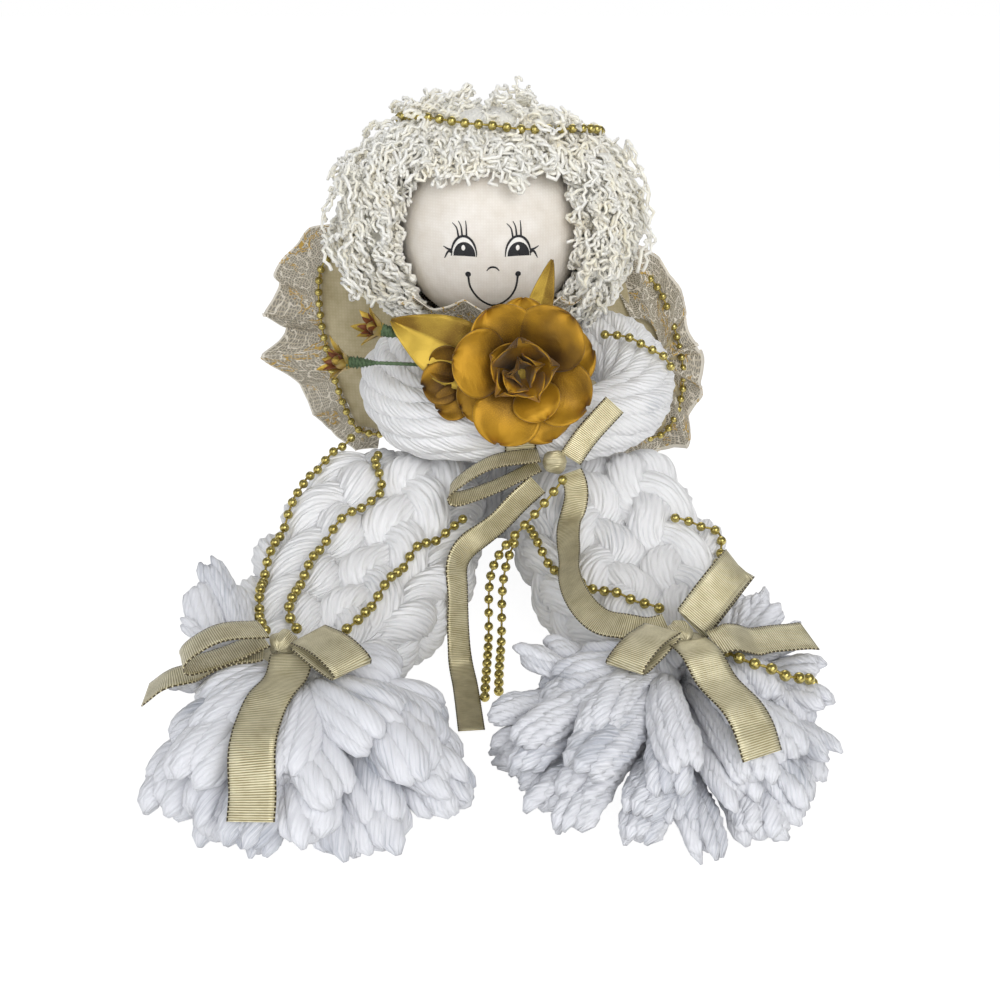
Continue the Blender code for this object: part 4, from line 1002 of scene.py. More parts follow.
@dataclass
class MopFoot:
    """One foot: cut yarn ends that spread from the ankle tie into a low dome, and back beside the leg."""

    side: Side
    centre: tuple[float, float]
    half: tuple[float, float]
    ankle: tuple[float, float]
    fan: Sequence
    fan_size: float = 0.68
    width: float = 0.0094
    lay: float = 0.09
    ridge: float = 0.06
    ankle_z: float = 0.021
    strands: int = 6
    squash: float = 0.64
    # Girth, least and most reach as shares of the dome, height of the ends and height of the hump.
    layers: Sequence = ((0.150, 0.94, 1.05, 0.006, 0.019), (0.132, 0.82, 1.02, 0.013, 0.028),
                        (0.102, 0.68, 0.95, 0.022, 0.036), (0.074, 0.48, 0.84, 0.030, 0.041))

    def build(self, rng: Random) -> Object:
        """Build the tufts in layers, from the rim up to the crown, and then those beside the leg."""
        skin = Skin()
        x, y = mm(self.centre)
        wide, deep = mm(self.half)
        ankle = np.array([*mm(self.ankle), self.ankle_z])
        for girth, least, most, end_z, top_z in self.layers:
            shift = rng.uniform(0, 1)
            count = round(girth / self.width)
            for k in range(count):
                turn = TURN * (k + shift + rng.uniform(-0.25, 0.25)) / count
                out = rng.uniform(least, most) - 0.07 - 0.10 * min(0.0, math.sin(turn))
                tip = np.array([x + wide * out * math.cos(turn), y + deep * out * math.sin(turn),
                                end_z + rng.uniform(-0.001, 0.003)])
                if tip[1] < ankle[1] - 0.004 or abs(tip[0] - ankle[0]) > 0.028:
                    self.tuft(skin, ankle, tip, top_z, 1.0, rng)
        for tip in mm(self.fan):
            start = ankle + (math.copysign(0.018, tip[0] - ankle[0]), 0.003, -0.002)
            self.tuft(skin, start, tip, (start[2] + tip[2]) / 2 + 0.006, self.fan_size, rng)
        word = self.side.word
        return seat(skin.piece(f"foot_yarn_ends_{word}", COMBED_YARN), f"leg_{word}", Slot.YARN,
                    f"foot_tassel_{word}")

    def tuft(self, skin: Skin, ankle: Array, tip: Array, top_z: float, size: float, rng: Random) -> None:
        """Add one soft brush of combed yarn: a core with strands over it that end unevenly.

        Args:
            skin: gathers the brushes.
            ankle: where the yarn comes out of the tie.
            tip: the brush's end.
            top_z: height of the hump on its way.
            size: the brush's thickness, as a share of the usual one.
            rng: source of small irregularities.
        """
        toward = unit(tip - ankle)
        root = ankle + toward * (0.008, 0.004, 0.0) + UP * 0.3 * (top_z - self.ankle_z)
        bend = ankle * 0.55 + tip * 0.45
        bend[2] = max(top_z - 0.004, bend[2])
        near = ankle * 0.14 + tip * 0.86
        near[2] = max(tip[2] + 0.4 * (top_z - tip[2]), 0.005)
        path = smooth_path([root, bend, near, tip], 22)
        s = np.linspace(0, 1, len(path))
        path = path + np.sin(math.pi * s)[:, None] * np.cross(toward, UP) * rng.uniform(-0.006, 0.006)
        swell = np.interp(s, (0, 0.25, 0.55, 0.8, 0.94, 1.0), (0.36, 0.6, 0.86, 1.0, 0.95, 0.8))
        fat = self.width * size * rng.uniform(0.8, 1.2)
        path[:, 2] = np.maximum(path[:, 2], fat * self.squash * swell)
        tint = rng.uniform(0.1, 0.9)
        taper = np.interp(s, (0, 0.9, 0.97, 1), (0.8, 0.78, 0.6, 0.2))
        skin.yarn(path, UP, fat * swell * taper, 0.2, 4, 0.08, 14, tint=tint, squash=self.squash)
        _, normal, sideways = frames(path, UP)
        lean = rng.uniform(-0.5, 0.5)
        thin = np.interp(s, (0, 0.8, 0.93, 0.98, 1), (0.8, 1.0, 0.97, 0.8, 0.3))
        for k in range(self.strands):
            turn = math.pi * ((k + rng.uniform(0.2, 0.8)) / self.strands * 1.3 - 0.15) + lean * s
            wave = 0.05 * np.sin(TURN * (s * rng.uniform(0.6, 1.4) + rng.uniform()))
            reach = (fat * swell * (0.70 + wave))[:, None]
            line = path + reach * around(turn, sideways, self.squash * normal)
            line = line + (rng.uniform(-0.003, 0.0045) * s**4)[:, None] * toward
            thick = fat * 0.43 * swell * thin * rng.uniform(0.8, 1.15)
            line[:, 2] = np.maximum(line[:, 2], thick * 0.98)
            skin.yarn(line, normal, thick, self.lay * rng.uniform(0.8, 1.3), 3, self.ridge, 10,
                      rng.uniform(0, TURN), tint=float(np.clip(tint + rng.uniform(-0.25, 0.25), 0, 1)),
                      squash=0.86)


# Head, face and hair

@dataclass
class MuslinHead:
    """The stuffed muslin ball, gathered under the chin, with its printed face in millimetres."""

    radius: float = 0.044
    ink_lift: float = 0.00012
    ink_thickness: float = 0.00006
    eyes: tuple = (-10.7, 12.1)
    eye_half: float = 5.4
    eye_tall: float = 8.1
    eye_z: float = -4.4
    # Start beside the eye's middle, height and sideways bend of the upper lashes.
    upper_lashes: tuple = ((-2.2, 5.2, -2.6), (-0.6, 6.0, -1.6), (1.2, 6.2, -0.4))
    # Start above the eye's foot, rise and reach of the side lashes.
    side_lashes: tuple = ((2.0, 1.4, 3.8), (0.9, -2.6, 3.4))
    nose: tuple = ((-1.2, -10.9), (0.0, -9.6), (1.5, -9.2), (3.0, -9.6), (4.2, -10.9))
    smile: tuple = ((-9.1, -12.7), (-8.5, -17.8), (-6.3, -22.2), (-3.0, -25.8), (1.4, -28.0), (5.6, -26.6),
                    (9.2, -23.2), (11.4, -18.6), (12.2, -12.5))

    def ball(self) -> Object:
        """Build the stuffed ball, gathered at the neck and swollen by its filling."""
        bpy.ops.object.select_all(action="DESELECT")
        centre = joint_place("neck_turn")
        bpy.ops.mesh.primitive_uv_sphere_add(segments=48, ring_count=28, radius=self.radius - 0.0012,
                                             location=centre)
        obj = bpy.context.object
        obj.name = "head_muslin_ball"
        bpy.ops.object.transform_apply(location=True, rotation=True, scale=True)
        low = centre[2] - self.radius * 0.95
        places = corners(obj)
        places[:, 2] = np.maximum(places[:, 2], low)
        move_corners(obj, places)
        stuff(obj, HEAD_MUSLIN, 0.0035, 4.0, 0.0016, lambda p: p[:, 2] < low + 0.002)
        return seat(obj, "head", Slot.MUSLIN, "head_ball")

    def print_face(self, ball: Object) -> None:
        """Print the eyes, lashes, nose and smile on the front of the ball."""
        centre = joint_place("neck_turn")
        surface = BVHTree.FromObject(ball, bpy.context.evaluated_depsgraph_get())
        black, white = Skin(), Skin()

        def on_face(flat: Array, lift: float) -> Array:
            """Carry flat face points, X and Z in millimetres, on to the ball's front, some ink layers up."""
            points = []
            for x, z in flat.reshape(-1, 2) * 0.001:
                start = Vector((centre[0] + x, centre[1] - 2 * self.radius, centre[2] + z))
                hit = surface.ray_cast(start, Vector((0, 1, 0)))
                points.append(np.array(hit[0]) + np.array(hit[1]) * lift * self.ink_lift)
            return np.array(points).reshape(*flat.shape[:-1], 3)

        def stroke(points: Sequence, width: Sequence, lift: float = 1.0, steps: int = 22) -> None:
            """Draw a line of black ink through points, with its width along it."""
            line = smooth_path([(x, z, 0.0) for x, z in points], steps)
            ahead = unit(np.gradient(line, axis=0))
            side = np.stack([ahead[:, 1], -ahead[:, 0]], axis=1)
            half = np.interp(np.linspace(0, 1, steps), np.linspace(0, 1, len(width)), width) / 2
            flat = line[:, None, :2] + (half[:, None] * np.linspace(-1, 1, 4))[..., None] * side[:, None]
            black.grid(on_face(flat, lift), np.linspace(0, 0.001, 4), np.linspace(0, 0.02, steps))

        def blot(skin: Skin, x: float, z: float, outline: Array, lift: float) -> None:
            """Fill a shape round a point with ink."""
            shares = np.array((1.0, 0.75, 0.5, 0.25, 0.02))[:, None, None]
            rows = on_face(np.array((x, z)) + outline[None] * shares, lift).transpose(1, 0, 2)
            skin.grid(rows, np.linspace(0, 0.004, 5), np.linspace(0, 0.02, len(outline)))

        half, tall, foot = self.eye_half, self.eye_tall, self.eye_z
        arc = np.linspace(math.radians(-12), math.radians(192), 26)
        dome = np.stack([np.cos(arc), np.maximum(np.sin(arc), -0.05)], axis=1)
        closed = np.vstack([dome, dome[:1]])
        full = TURN * np.linspace(0, 1, 27)
        disc = np.stack([np.cos(full), np.sin(full)], axis=1)
        for sign, x in zip((-1, 1), self.eyes):
            blot(white, x, foot + 0.1, closed * (half, tall), 0.6)
            stroke([(x + half * c, foot + tall * s) for c, s in dome[::3]], (0.3, 0.9, 1.0, 0.9, 0.3), 1.6)
            blot(black, x + 0.2, foot, closed * (half * 0.86, tall * 0.70), 1.3)
            blot(white, x - 0.2, foot + 3.3, disc * (0.8, 1.15), 2.2)
            top = foot + tall
            for lash, height, bend in self.upper_lashes:
                stroke([(x + lash, top - 0.5), (x + lash + bend * 0.3, top + height * 0.6),
                        (x + lash + bend, top + height)], (0.8, 0.6, 0.3))
            edge = x + sign * (half - 0.4)
            for low, rise, far in self.side_lashes:
                stroke([(edge, foot + low), (edge + sign * far * 0.5, foot + low + 0.4),
                        (edge + sign * far, foot + low + rise)], (1.0, 0.8, 0.3))
        stroke(self.nose, (0.3, 0.75, 0.85, 0.7, 0.3))
        for x in (-9.1, 12.2):
            blot(black, x, -12.6, disc * 1.2, 1.0)
        stroke(self.smile, (0.85, 0.8, 0.85, 0.9, 0.85, 0.8, 0.85))
        for skin, word, ink in ((black, "black", BLACK_INK), (white, "white", WHITE_INK)):
            obj = skin.piece(f"face_print_{word}", ink, thickness=self.ink_thickness)
            seat(obj, "head", Slot.MUSLIN)

    def build(self) -> None:
        """Build the ball and its face."""
        self.print_face(self.ball())


@dataclass
class CurlyHair:
    """The mop of boucle yarn: a lumpy mat close to the head, with wavy locks of thin coils all over it."""

    head_radius: float = 0.044
    thick_side: float = 0.022
    thick_back: float = 0.008
    thick_top: float = 0.0072
    thick_least: float = 0.006
    # Half width and top of the opening round the face, in degrees.
    opening: tuple[float, float] = (60.0, 40.0)
    # Radius over the middle of the hair, which turns a lock's length into an angle.
    over_hair: float = 0.052
    thread: float = 0.00078
    coil: float = 0.00112
    pitch: float = 0.0046
    wave: float = 0.0022
    wave_pitch: float = 0.012
    strands: int = 2
    # Half width and lowest rise of the fringe, in radians.
    fringe: tuple[float, float] = (1.0, 0.58)

    def reach(self, turn: Array, rise: Array) -> Array:
        """Return how far the hair stands from the head's middle in a direction."""
        sideways = np.abs(np.sin(turn)) * np.cos(rise)
        behind = np.maximum(0.0, -np.cos(turn)) * np.cos(rise)
        above = np.maximum(0.0, np.sin(rise))
        thick = self.thick_side * sideways**2 + self.thick_back * behind**2 + self.thick_top * above**2
        return self.head_radius + np.maximum(thick, self.thick_least)

    def point(self, turn: Array, rise: Array, radius: Array) -> Array:
        """Return points round the head at an angle from the front, a rise and a radius."""
        flat = np.cos(rise) * radius
        return joint_place("neck_turn") + np.stack([flat * np.sin(turn), -flat * np.cos(turn),
                                                    np.sin(rise) * radius], axis=-1)

    def mat(self, skin: Skin, turns: tuple, rises: tuple) -> None:
        """Add the lumpy mat under the locks, which meets the head round the face. It takes the lightest tint
        as painted light, which lifts the shade between the locks.
        """
        columns, rows = int(0.9 * (turns[1] - turns[0])) + 20, int(1.1 * (rises[1] - rises[0]))
        turn = np.radians(np.linspace(*turns, columns))[None] + np.zeros((rows, 1))
        rise = np.radians(np.linspace(*rises, rows))[:, None] + np.zeros((1, columns))
        lumps = np.sin(83 * turn + 4 * np.sin(19 * rise)) * np.sin(71 * rise + 3 * np.sin(23 * turn))
        past = np.maximum(np.degrees(np.abs(turn)) - self.opening[0], np.degrees(rise) - self.opening[1])
        share = np.clip(past / 16, 0, 1) ** 0.6 * np.clip((np.degrees(rise) + 46) / 14, 0, 1) ** 0.6
        deep = (self.reach(turn, rise) - self.head_radius) * 0.95 + 0.0006 * lumps
        outer = self.point(turn, rise, self.head_radius + 0.0005 + deep * share)
        # Painted light: the mat gets the lightest tint so that the shade between the locks reads paler.
        skin.grid(outer, np.linspace(0, 0.2, columns), np.linspace(0, 0.1, rows), tint=1.0)

    def lock(self, skin: Skin, turn: float, rise: float, length: float, heading: float, lift: float,
             rng: Random) -> None:
        """Add one lock that lies over the mat: threads that wave and coil along it.

        Args:
            skin: gathers the locks.
            turn: where it springs from, round from the front, in radians.
            rise: where it springs from, above the head's middle, in radians.
            length: the lock's length.
            heading: the way that it runs over the head: 0 is straight down.
            lift: how far its end stands off, as a share of the hair's thickness.
            rng: source of irregularities.
        """
        span = length / self.over_hair
        if abs(turn) < self.fringe[0]:
            span = min(span, max(0.1, (rise - self.fringe[1]) / max(math.cos(heading), 0.3)))
        s = np.linspace(0, 1, max(24, int(span * self.over_hair / self.pitch * 7)))
        wander = 0.10 * np.sin(TURN * (s * rng.uniform(0.7, 1.8) + rng.uniform())) * s
        rises = rise - span * math.cos(heading) * s + wander
        turns = turn + span * math.sin(heading) * s / max(math.cos(rise), 0.4) + wander * rng.uniform(-1, 1)
        thick = self.reach(turns, rises) - self.head_radius
        start = min(0.92, lift)
        radius = self.head_radius + 0.0012 + thick * (start + (lift - start) * s)
        radius = radius + 0.0008 * np.sin(TURN * s * rng.uniform(1, 3) + rng.uniform(0, TURN))
        radius = np.clip(radius, self.head_radius + 0.0017, self.head_radius + thick + 0.009)
        line = self.point(turns, rises, radius)
        along = lengths(line)
        for _ in range(self.strands):
            own = line + rng.normal(size=3) * self.thread * np.interp(s, (0, 1), (0.7, 1.6))[:, None]
            out = unit(own - joint_place("neck_turn"))
            side = unit(np.cross(np.gradient(own, axis=0), out))
            bend = TURN * (along / (self.wave_pitch * rng.uniform(0.7, 1.4)) + rng.uniform())
            own = own + (self.wave * s)[:, None] * around(bend, side, 0.4 * out)
            angle = TURN * along / (self.pitch * rng.uniform(0.8, 1.3)) + rng.uniform(0, TURN)
            wide = self.coil * (0.9 + 0.35 * np.sin(along * rng.uniform(500, 1100) + rng.uniform(0, TURN)))
            wide = wide * np.interp(s, (0, 0.1, 0.9, 1), (0.6, 1, 1, 0.6)) * rng.uniform(0.75, 1.2)
            own = own + around(angle, side, 0.8 * out) * wide[:, None]
            girth = self.thread * rng.uniform(0.85, 1.15)
            skin.yarn(own, out, girth, 1.0, 2, 0.0, 5, tint=rng.uniform(0.5, 1.0))

    def panel(self, word: str, turns: tuple, rises: tuple, locks: Iterable[tuple], rng: Random) -> None:
        """Build one part of the mop.

        Args:
            word: the part's word in the names of the piece and its node.
            turns: first and last angle of its mat round from the front, in degrees.
            rises: lowest and highest rise of its mat, in degrees.
            locks: groups of count, turns, rises, lengths in millimetres, headings and lifts of its locks.
            rng: source of irregularities.
        """
        skin = Skin()
        self.mat(skin, turns, rises)
        for count, sweep, heights, size, headings, lifts in locks:
            low, high = np.sin(np.radians(heights))
            for _ in range(count):
                self.lock(skin, math.radians(rng.uniform(*sweep)), math.asin(rng.uniform(low, high)),
                          0.001 * rng.uniform(*size), math.radians(rng.uniform(*headings)),
                          rng.uniform(*lifts), rng)
        seat(skin.piece(f"hair_curls_{word}", CREAM_CURLS), "head", Slot.CURLS, f"hair_{word}")

    def build(self, rng: Random) -> None:
        """Build the crown with its fringe, both sides and the back."""
        self.panel("crown", (-180, 180), (40, 89.5), (
            (124, (-180, 180), (42, 88), (20, 36), (-60, 60), (0.9, 1.12)),
            (34, (-62, 62), (44, 66), (12, 22), (-40, 40), (0.7, 1.0)),
            (26, (-180, 180), (45, 80), (16, 30), (-180, 180), (1.4, 2.4))), rng)
        for word, turns, face in (("right", (62, 130), (50, 68)), ("left", (-130, -62), (-68, -50))):
            self.panel(word, turns, (-44, 42), (
                (74, turns, (-28, 44), (20, 40), (-35, 35), (0.9, 1.12)),
                (26, face, (-24, 42), (16, 34), (-25, 25), (0.7, 0.95)),
                (44, face, (-46, 42), (8, 16), (-20, 20), (0.15, 0.5)),
                (32, turns, (-36, 40), (16, 32), (-80, 80), (1.15, 1.6))), rng)
        self.panel("back", (126, 234), (-44, 42), (
            (180, (126, 234), (-38, 44), (18, 34), (-35, 35), (0.9, 1.2)),), rng)


# Wings and collar

@dataclass
class LaceFrill:
    """A gathered strip of lace between an inner and an outer line."""

    name: str
    inner: Array
    outer: Array
    away: Array
    waves: int
    depth: float
    thickness: float = 0.0004
    scallop: float = 0.035
    rows: int = 15
    per_wave: int = 36

    def build(self, body: str, node: str) -> None:
        """Build the gathered strip, with folds that open towards its scalloped edge."""
        count = self.waves * self.per_wave + 1
        near, far = resample(self.inner, count), resample(self.outer, count)
        share = np.linspace(0, 1, self.rows)
        phase = TURN * self.waves * np.linspace(0, 1, count)
        phase = phase + 0.7 * np.sin(phase * 0.37) + 0.4 * np.sin(phase * 0.61 + 1)
        deep = self.depth * (1.0 + 0.35 * np.sin(phase * 0.29 + 2))
        ahead = unit(np.gradient(far, axis=0))
        notch = self.scallop * (1 - np.abs(np.sin(phase)))
        rows = []
        for q in share:
            line = near + (far - near) * (q * (1 - notch * q**3))[:, None]
            fold = np.sin(phase) * deep * q**0.75
            tuck = np.sin(2 * phase) * deep * 0.35 * q
            rows.append(line + self.away * fold[:, None] + ahead * tuck[:, None])
        sheet = np.stack(rows, axis=1)
        width = float(np.mean(np.linalg.norm(far - near, axis=1)))
        long = float(lengths(sheet[:, self.rows // 2])[-1])
        skin = Skin()
        skin.grid(sheet, share * width, np.linspace(0, long, count), tint=np.tile(share, count))
        obj = skin.piece(self.name, GOLD_LACE, thickness=self.thickness)
        seat(obj, body, Slot.LACE, node)


@dataclass
class Wing:
    """One wing: a rolled root, a padded cotton panel and a lace frill, with the line of its beads."""

    side: Side
    rim: Sequence
    edge: Sequence
    sweep: float = 0.10
    root_x: float = 0.014
    root_radius: float = 0.004
    # How far the frill's inner edge lies inside the rim, and behind it.
    tuck: tuple[float, float] = (0.004, 0.0008)
    waves: int = 6
    fold: float = 0.0075
    seam: float = 0.003
    bead_stand: float = 0.0034

    @property
    def body(self) -> str:
        """The name of the wing's body."""
        return f"wing_{self.side.word}"

    def line(self, outline: Sequence, count: int) -> Array:
        """Return a smooth line through X and Z points in millimetres, at their depth behind the doll."""
        x, z = mm(outline).T
        hinge = joint_place(f"{self.body}_flap")
        back = hinge[1] + self.sweep * np.maximum(0.0, np.abs(x) - self.root_x)
        return smooth_path(np.stack([x, back, z], axis=1), count)

    def bead_line(self) -> Array:
        """Return the line that the beads follow in front of the rim."""
        return self.line(self.rim, 40) - (0.0, self.bead_stand, 0.0)

    def panel(self) -> None:
        """Build the padded panel from the node's own shape, swollen by its thin filling."""
        node = f"wing_panel_{self.side.word}"
        obj = new_object(f"wing_cotton_panel_{self.side.word}", frame["nodes"][node].data.copy())
        only(obj)
        bpy.ops.object.mode_set(mode="EDIT")
        bpy.ops.mesh.select_all(action="SELECT")
        bpy.ops.mesh.remove_doubles(threshold=0.00001)
        bpy.ops.object.mode_set(mode="OBJECT")
        rim = self.line(self.rim, 90)

        def sewn(points: Array) -> Array:
            """Tell which points lie on the seam round the panel's rim."""
            gaps = np.linalg.norm(points[:, None, ::2] - rim[None, :, ::2], axis=2)
            return gaps.min(axis=1) < self.seam

        stuff(obj, WING_COTTON, 0.0028, 3.0, 0.0018, sewn)
        seat(obj, self.body, Slot.WING, node)

    def root(self) -> None:
        """Build the rolled and stitched root that is sewn to the back."""
        node = f"wing_root_{self.side.word}"
        low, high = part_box(node)
        z = np.linspace(low.z, high.z, 40)
        x, y = (low.x + high.x) / 2, (low.y + high.y) / 2
        path = np.stack([np.full_like(z, x), np.full_like(z, y), z], axis=1)
        swell = self.root_radius * (0.93 + 0.07 * np.cos(TURN * np.linspace(0, 7, len(z))))
        swell[[0, -1]] *= 0.6
        skin = Skin()
        skin.yarn(path, BACK, swell, 0.05, 5, 0.05, 20)
        seat(skin.piece(f"wing_rolled_root_{self.side.word}", WING_COTTON), self.body, Slot.WING, node)

    def build(self) -> None:
        """Build the wing's pieces apart from its beads."""
        self.panel()
        self.root()
        rim = self.line(self.rim, 120)
        tucked = rim + unit(rim.mean(axis=0) - rim) * self.tuck[0] + (0.0, self.tuck[1], 0.0)
        frill = LaceFrill(f"wing_lace_frill_{self.side.word}", tucked, self.line(self.edge, 120), BACK,
                          self.waves, self.fold)
        frill.build(self.body, f"wing_lace_{self.side.word}")


@dataclass
class Collar:
    """The lace frill round the neck."""

    inner: float = 0.021
    outer: float = 0.050
    rise: float = 0.018
    flat: float = 0.92
    stand: float = 0.008
    waves: int = 13
    fold: float = 0.0030

    def build(self) -> None:
        """Build the frill as a closed ring of gathered lace."""
        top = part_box("lace_collar")[0].z + self.stand
        turn = TURN * np.linspace(0, 1, 200)
        ring = np.stack([np.cos(turn), self.flat * np.sin(turn), np.zeros_like(turn)], axis=1)
        inner, outer = ring * self.inner + UP * top, ring * self.outer + UP * (top + self.rise)
        frill = LaceFrill("neck_lace_frill", inner, outer, UP, self.waves, self.fold)
        frill.build("torso", "lace_collar")


# Rose, leaves and buds

@dataclass(frozen=True)
class Petal:
    """One satin petal: where it stands in the rose, in degrees and millimetres, and how it curves."""

    turn: float
    start: float
    length: float
    width: float
    rise: tuple[float, float]
    cup: float
    tint: float
    height: float

    def sheet(self, rng: Random, rows: int, columns: int) -> Array:
        """Return the petal's grid of points in the rose's own frame."""
        v = 1 - (1 - np.linspace(0, 1, rows)) ** 1.4
        u = np.linspace(-1, 1, columns)
        start, length, width, cup, height = mm((self.start, self.length, self.width, self.cup, self.height))
        grow = np.sin(math.pi / 2 * np.minimum(1.0, (v + 0.08) / 0.6)) ** 0.75
        tip = np.sqrt(np.maximum(0.0, 1 - (np.maximum(0.0, v - 0.52) / 0.482) ** 2))
        half = width / 2 * grow * np.maximum(tip, 0.10)
        angle = np.radians(np.interp(v, (0, 1), self.rise))
        step = length * np.diff(v, prepend=0.0)
        out = start + np.cumsum(np.cos(angle) * step)
        up = height + np.cumsum(np.sin(angle) * step)
        side = half[:, None] * u[None]
        phase = rng.uniform(0, TURN, 2)
        wave = (0.0011 * np.sin(2.4 * u + phase[0])[None] * v[:, None]
                + 0.0007 * np.sin(5.2 * u + phase[1])[None] * v[:, None] ** 3)
        rim = np.clip((v - 0.8) / 0.2, 0, 1)[:, None] + 0.7 * np.clip((np.abs(u) - 0.7) / 0.3, 0, 1)[None]
        lift = cup * u[None] ** 2 * (0.25 + v[:, None]) + wave - 0.0015 * rim**1.5
        x = out[:, None] - np.sin(angle)[:, None] * lift
        z = up[:, None] + np.cos(angle)[:, None] * lift
        turn = math.radians(self.turn)
        c, s = math.cos(turn), math.sin(turn)
        return np.stack([x * c - side * s, x * s + side * c, z], axis=-1)


@dataclass
class SatinRose:
    """The gold rose that the hands hold, with its leaves and buds."""

    centre: tuple = (13.0, -86.0, 112.0)
    tilt: float = 72.7
    hub: float = 0.0084
    behind: float = -0.0125
    base_low: float = -0.0149
    base_high: float = -0.0099
    petal_rows: int = 20
    petal_columns: int = 19
    sepals: tuple = ((9, 0.0098, 0.0021, 0.0062, 0), (7, 0.0062, 0.0013, 0.0026, 1))

    def turned(self, points: Sequence) -> Array:
        """Return points of the rose's own frame at their place on the doll."""
        a = math.radians(self.tilt)
        spin = np.array(((1, 0, 0), (0, math.cos(a), -math.sin(a)), (0, math.sin(a), math.cos(a))))
        return np.asarray(points, float) @ spin.T + mm(self.centre)

    def ring(self, word: str, petals: Iterable[Petal], rng: Random) -> None:
        """Build one ring of petals as a piece."""
        skin = Skin()
        rows, columns = self.petal_rows, self.petal_columns
        for petal in petals:
            sheet = self.turned(petal.sheet(rng, rows, columns))
            # Painted shade: each petal is darker towards its root deep in the rose, a little lighter above
            # its middle and darker at its rim.
            painted_root_shade_and_dark_rim = np.interp(np.linspace(0, 1, rows), (0, 0.5, 0.85, 1), (-0.45, 0.0, 0.12, -0.3))
            tint = np.repeat(petal.tint + rng.uniform(-0.08, 0.08) + painted_root_shade_and_dark_rim, columns)
            wide, long = petal.width / 1000, petal.length / 1000
            skin.grid(sheet, np.linspace(0, wide, columns), np.linspace(0, long, rows), tint=tint)
        obj = skin.piece(f"rose_petals_{word}", ROSE_SATIN, thickness=0.00045)
        seat(obj, "torso", Slot.SATIN, f"rose_{word}_petals")

    def leaf(self, name: str, node: str, root: Sequence, tip: Sequence, width: float, bend: float,
             tint: float) -> None:
        """Build a pointed satin leaf with a pressed middle vein, with painted light and shade on the two
        halves of its fold.
        """
        a, along = np.array(root), np.array(tip) - root
        v, u = np.linspace(0, 1, 22), np.linspace(-1, 1, 13)
        half = width / 2 * np.sin(math.pi * np.clip(0.06 + 0.94 * v**0.8, 0, 1)) ** 0.85 + 0.0004
        fold = (0.10 + 0.02 * np.cos(9 * math.pi * v)[:, None]) * width * np.abs(u)[None]
        bow = bend * np.sin(math.pi * v)
        rows = a + along * v[:, None, None] + unit(np.cross(along, UP)) * (half[:, None] * u)[..., None]
        rows = rows + UP * (fold + bow[:, None])[..., None]
        skin = Skin()
        # Painted light and shade: the half on one side of the vein takes no tint and the other half takes the
        # given tint, as the two sides of the fold catch the light.
        skin.grid(self.turned(rows), np.linspace(0, width, 13), v * float(np.linalg.norm(along)),
                  tint=np.tile(np.where(u > 0, 0.0, tint), 22))
        seat(skin.piece(name, LEAF_SATIN, thickness=0.0005), "torso", Slot.SATIN, node)

    def bud(self, word: str, rng: Random) -> None:
        """Build a bud on its wire: a small egg wrapped in pointed satin scales."""
        middle = middle_of(f"bud_{word}")
        axis = unit(unit(middle - middle_of(f"bud_stem_{word}")) + (0.0, -0.75, 0.33))
        side = unit(np.cross(axis, (0.2, 0.3, 1.0)))
        other = np.cross(axis, side)
        skin = Skin()
        ahead = np.linspace(-1, 1, 14)
        girth = 0.0030 * np.sqrt(np.maximum(0.02, 1 - (ahead * 0.98) ** 2)) * (1 - 0.2 * ahead)
        skin.yarn(middle + axis * (ahead * 0.005 - 0.001)[:, None], side, girth, 0.05, 5, 0.08, 15, tint=0.1)
        v, u = np.linspace(0, 1, 10), np.linspace(-1, 1, 5)
        for count, long, wide, flare, brown in self.sepals:
            for k in range(count):
                turn = TURN * (k + 0.4 * rng.uniform()) / count
                out = math.cos(turn) * side + math.sin(turn) * other
                away = 0.0022 + flare * v**1.6 * rng.uniform(0.6, 1.25)
                rise = v * long * rng.uniform(0.75, 1.1) - 0.0035 + 0.003 * brown
                spine = middle + axis * rise[:, None] + out * away[:, None]
                half = wide * np.sin(math.pi * np.clip(v * 0.88 + 0.12, 0, 1)) ** 0.8 + 0.00012
                rows = spine[:, None] + np.cross(axis, out) * (half[:, None] * u)[..., None]
                rows = rows + out * (0.0006 * (1 - u**2))[None, :, None]
                skin.grid(rows, np.linspace(0, 2 * wide, 5), v * long, slot=brown, tint=rng.uniform(0.2, 1.0))
        seat(skin.piece(f"satin_bud_{word}", BUD_SATIN, BROWN_SATIN), "torso", Slot.SATIN, f"bud_{word}")

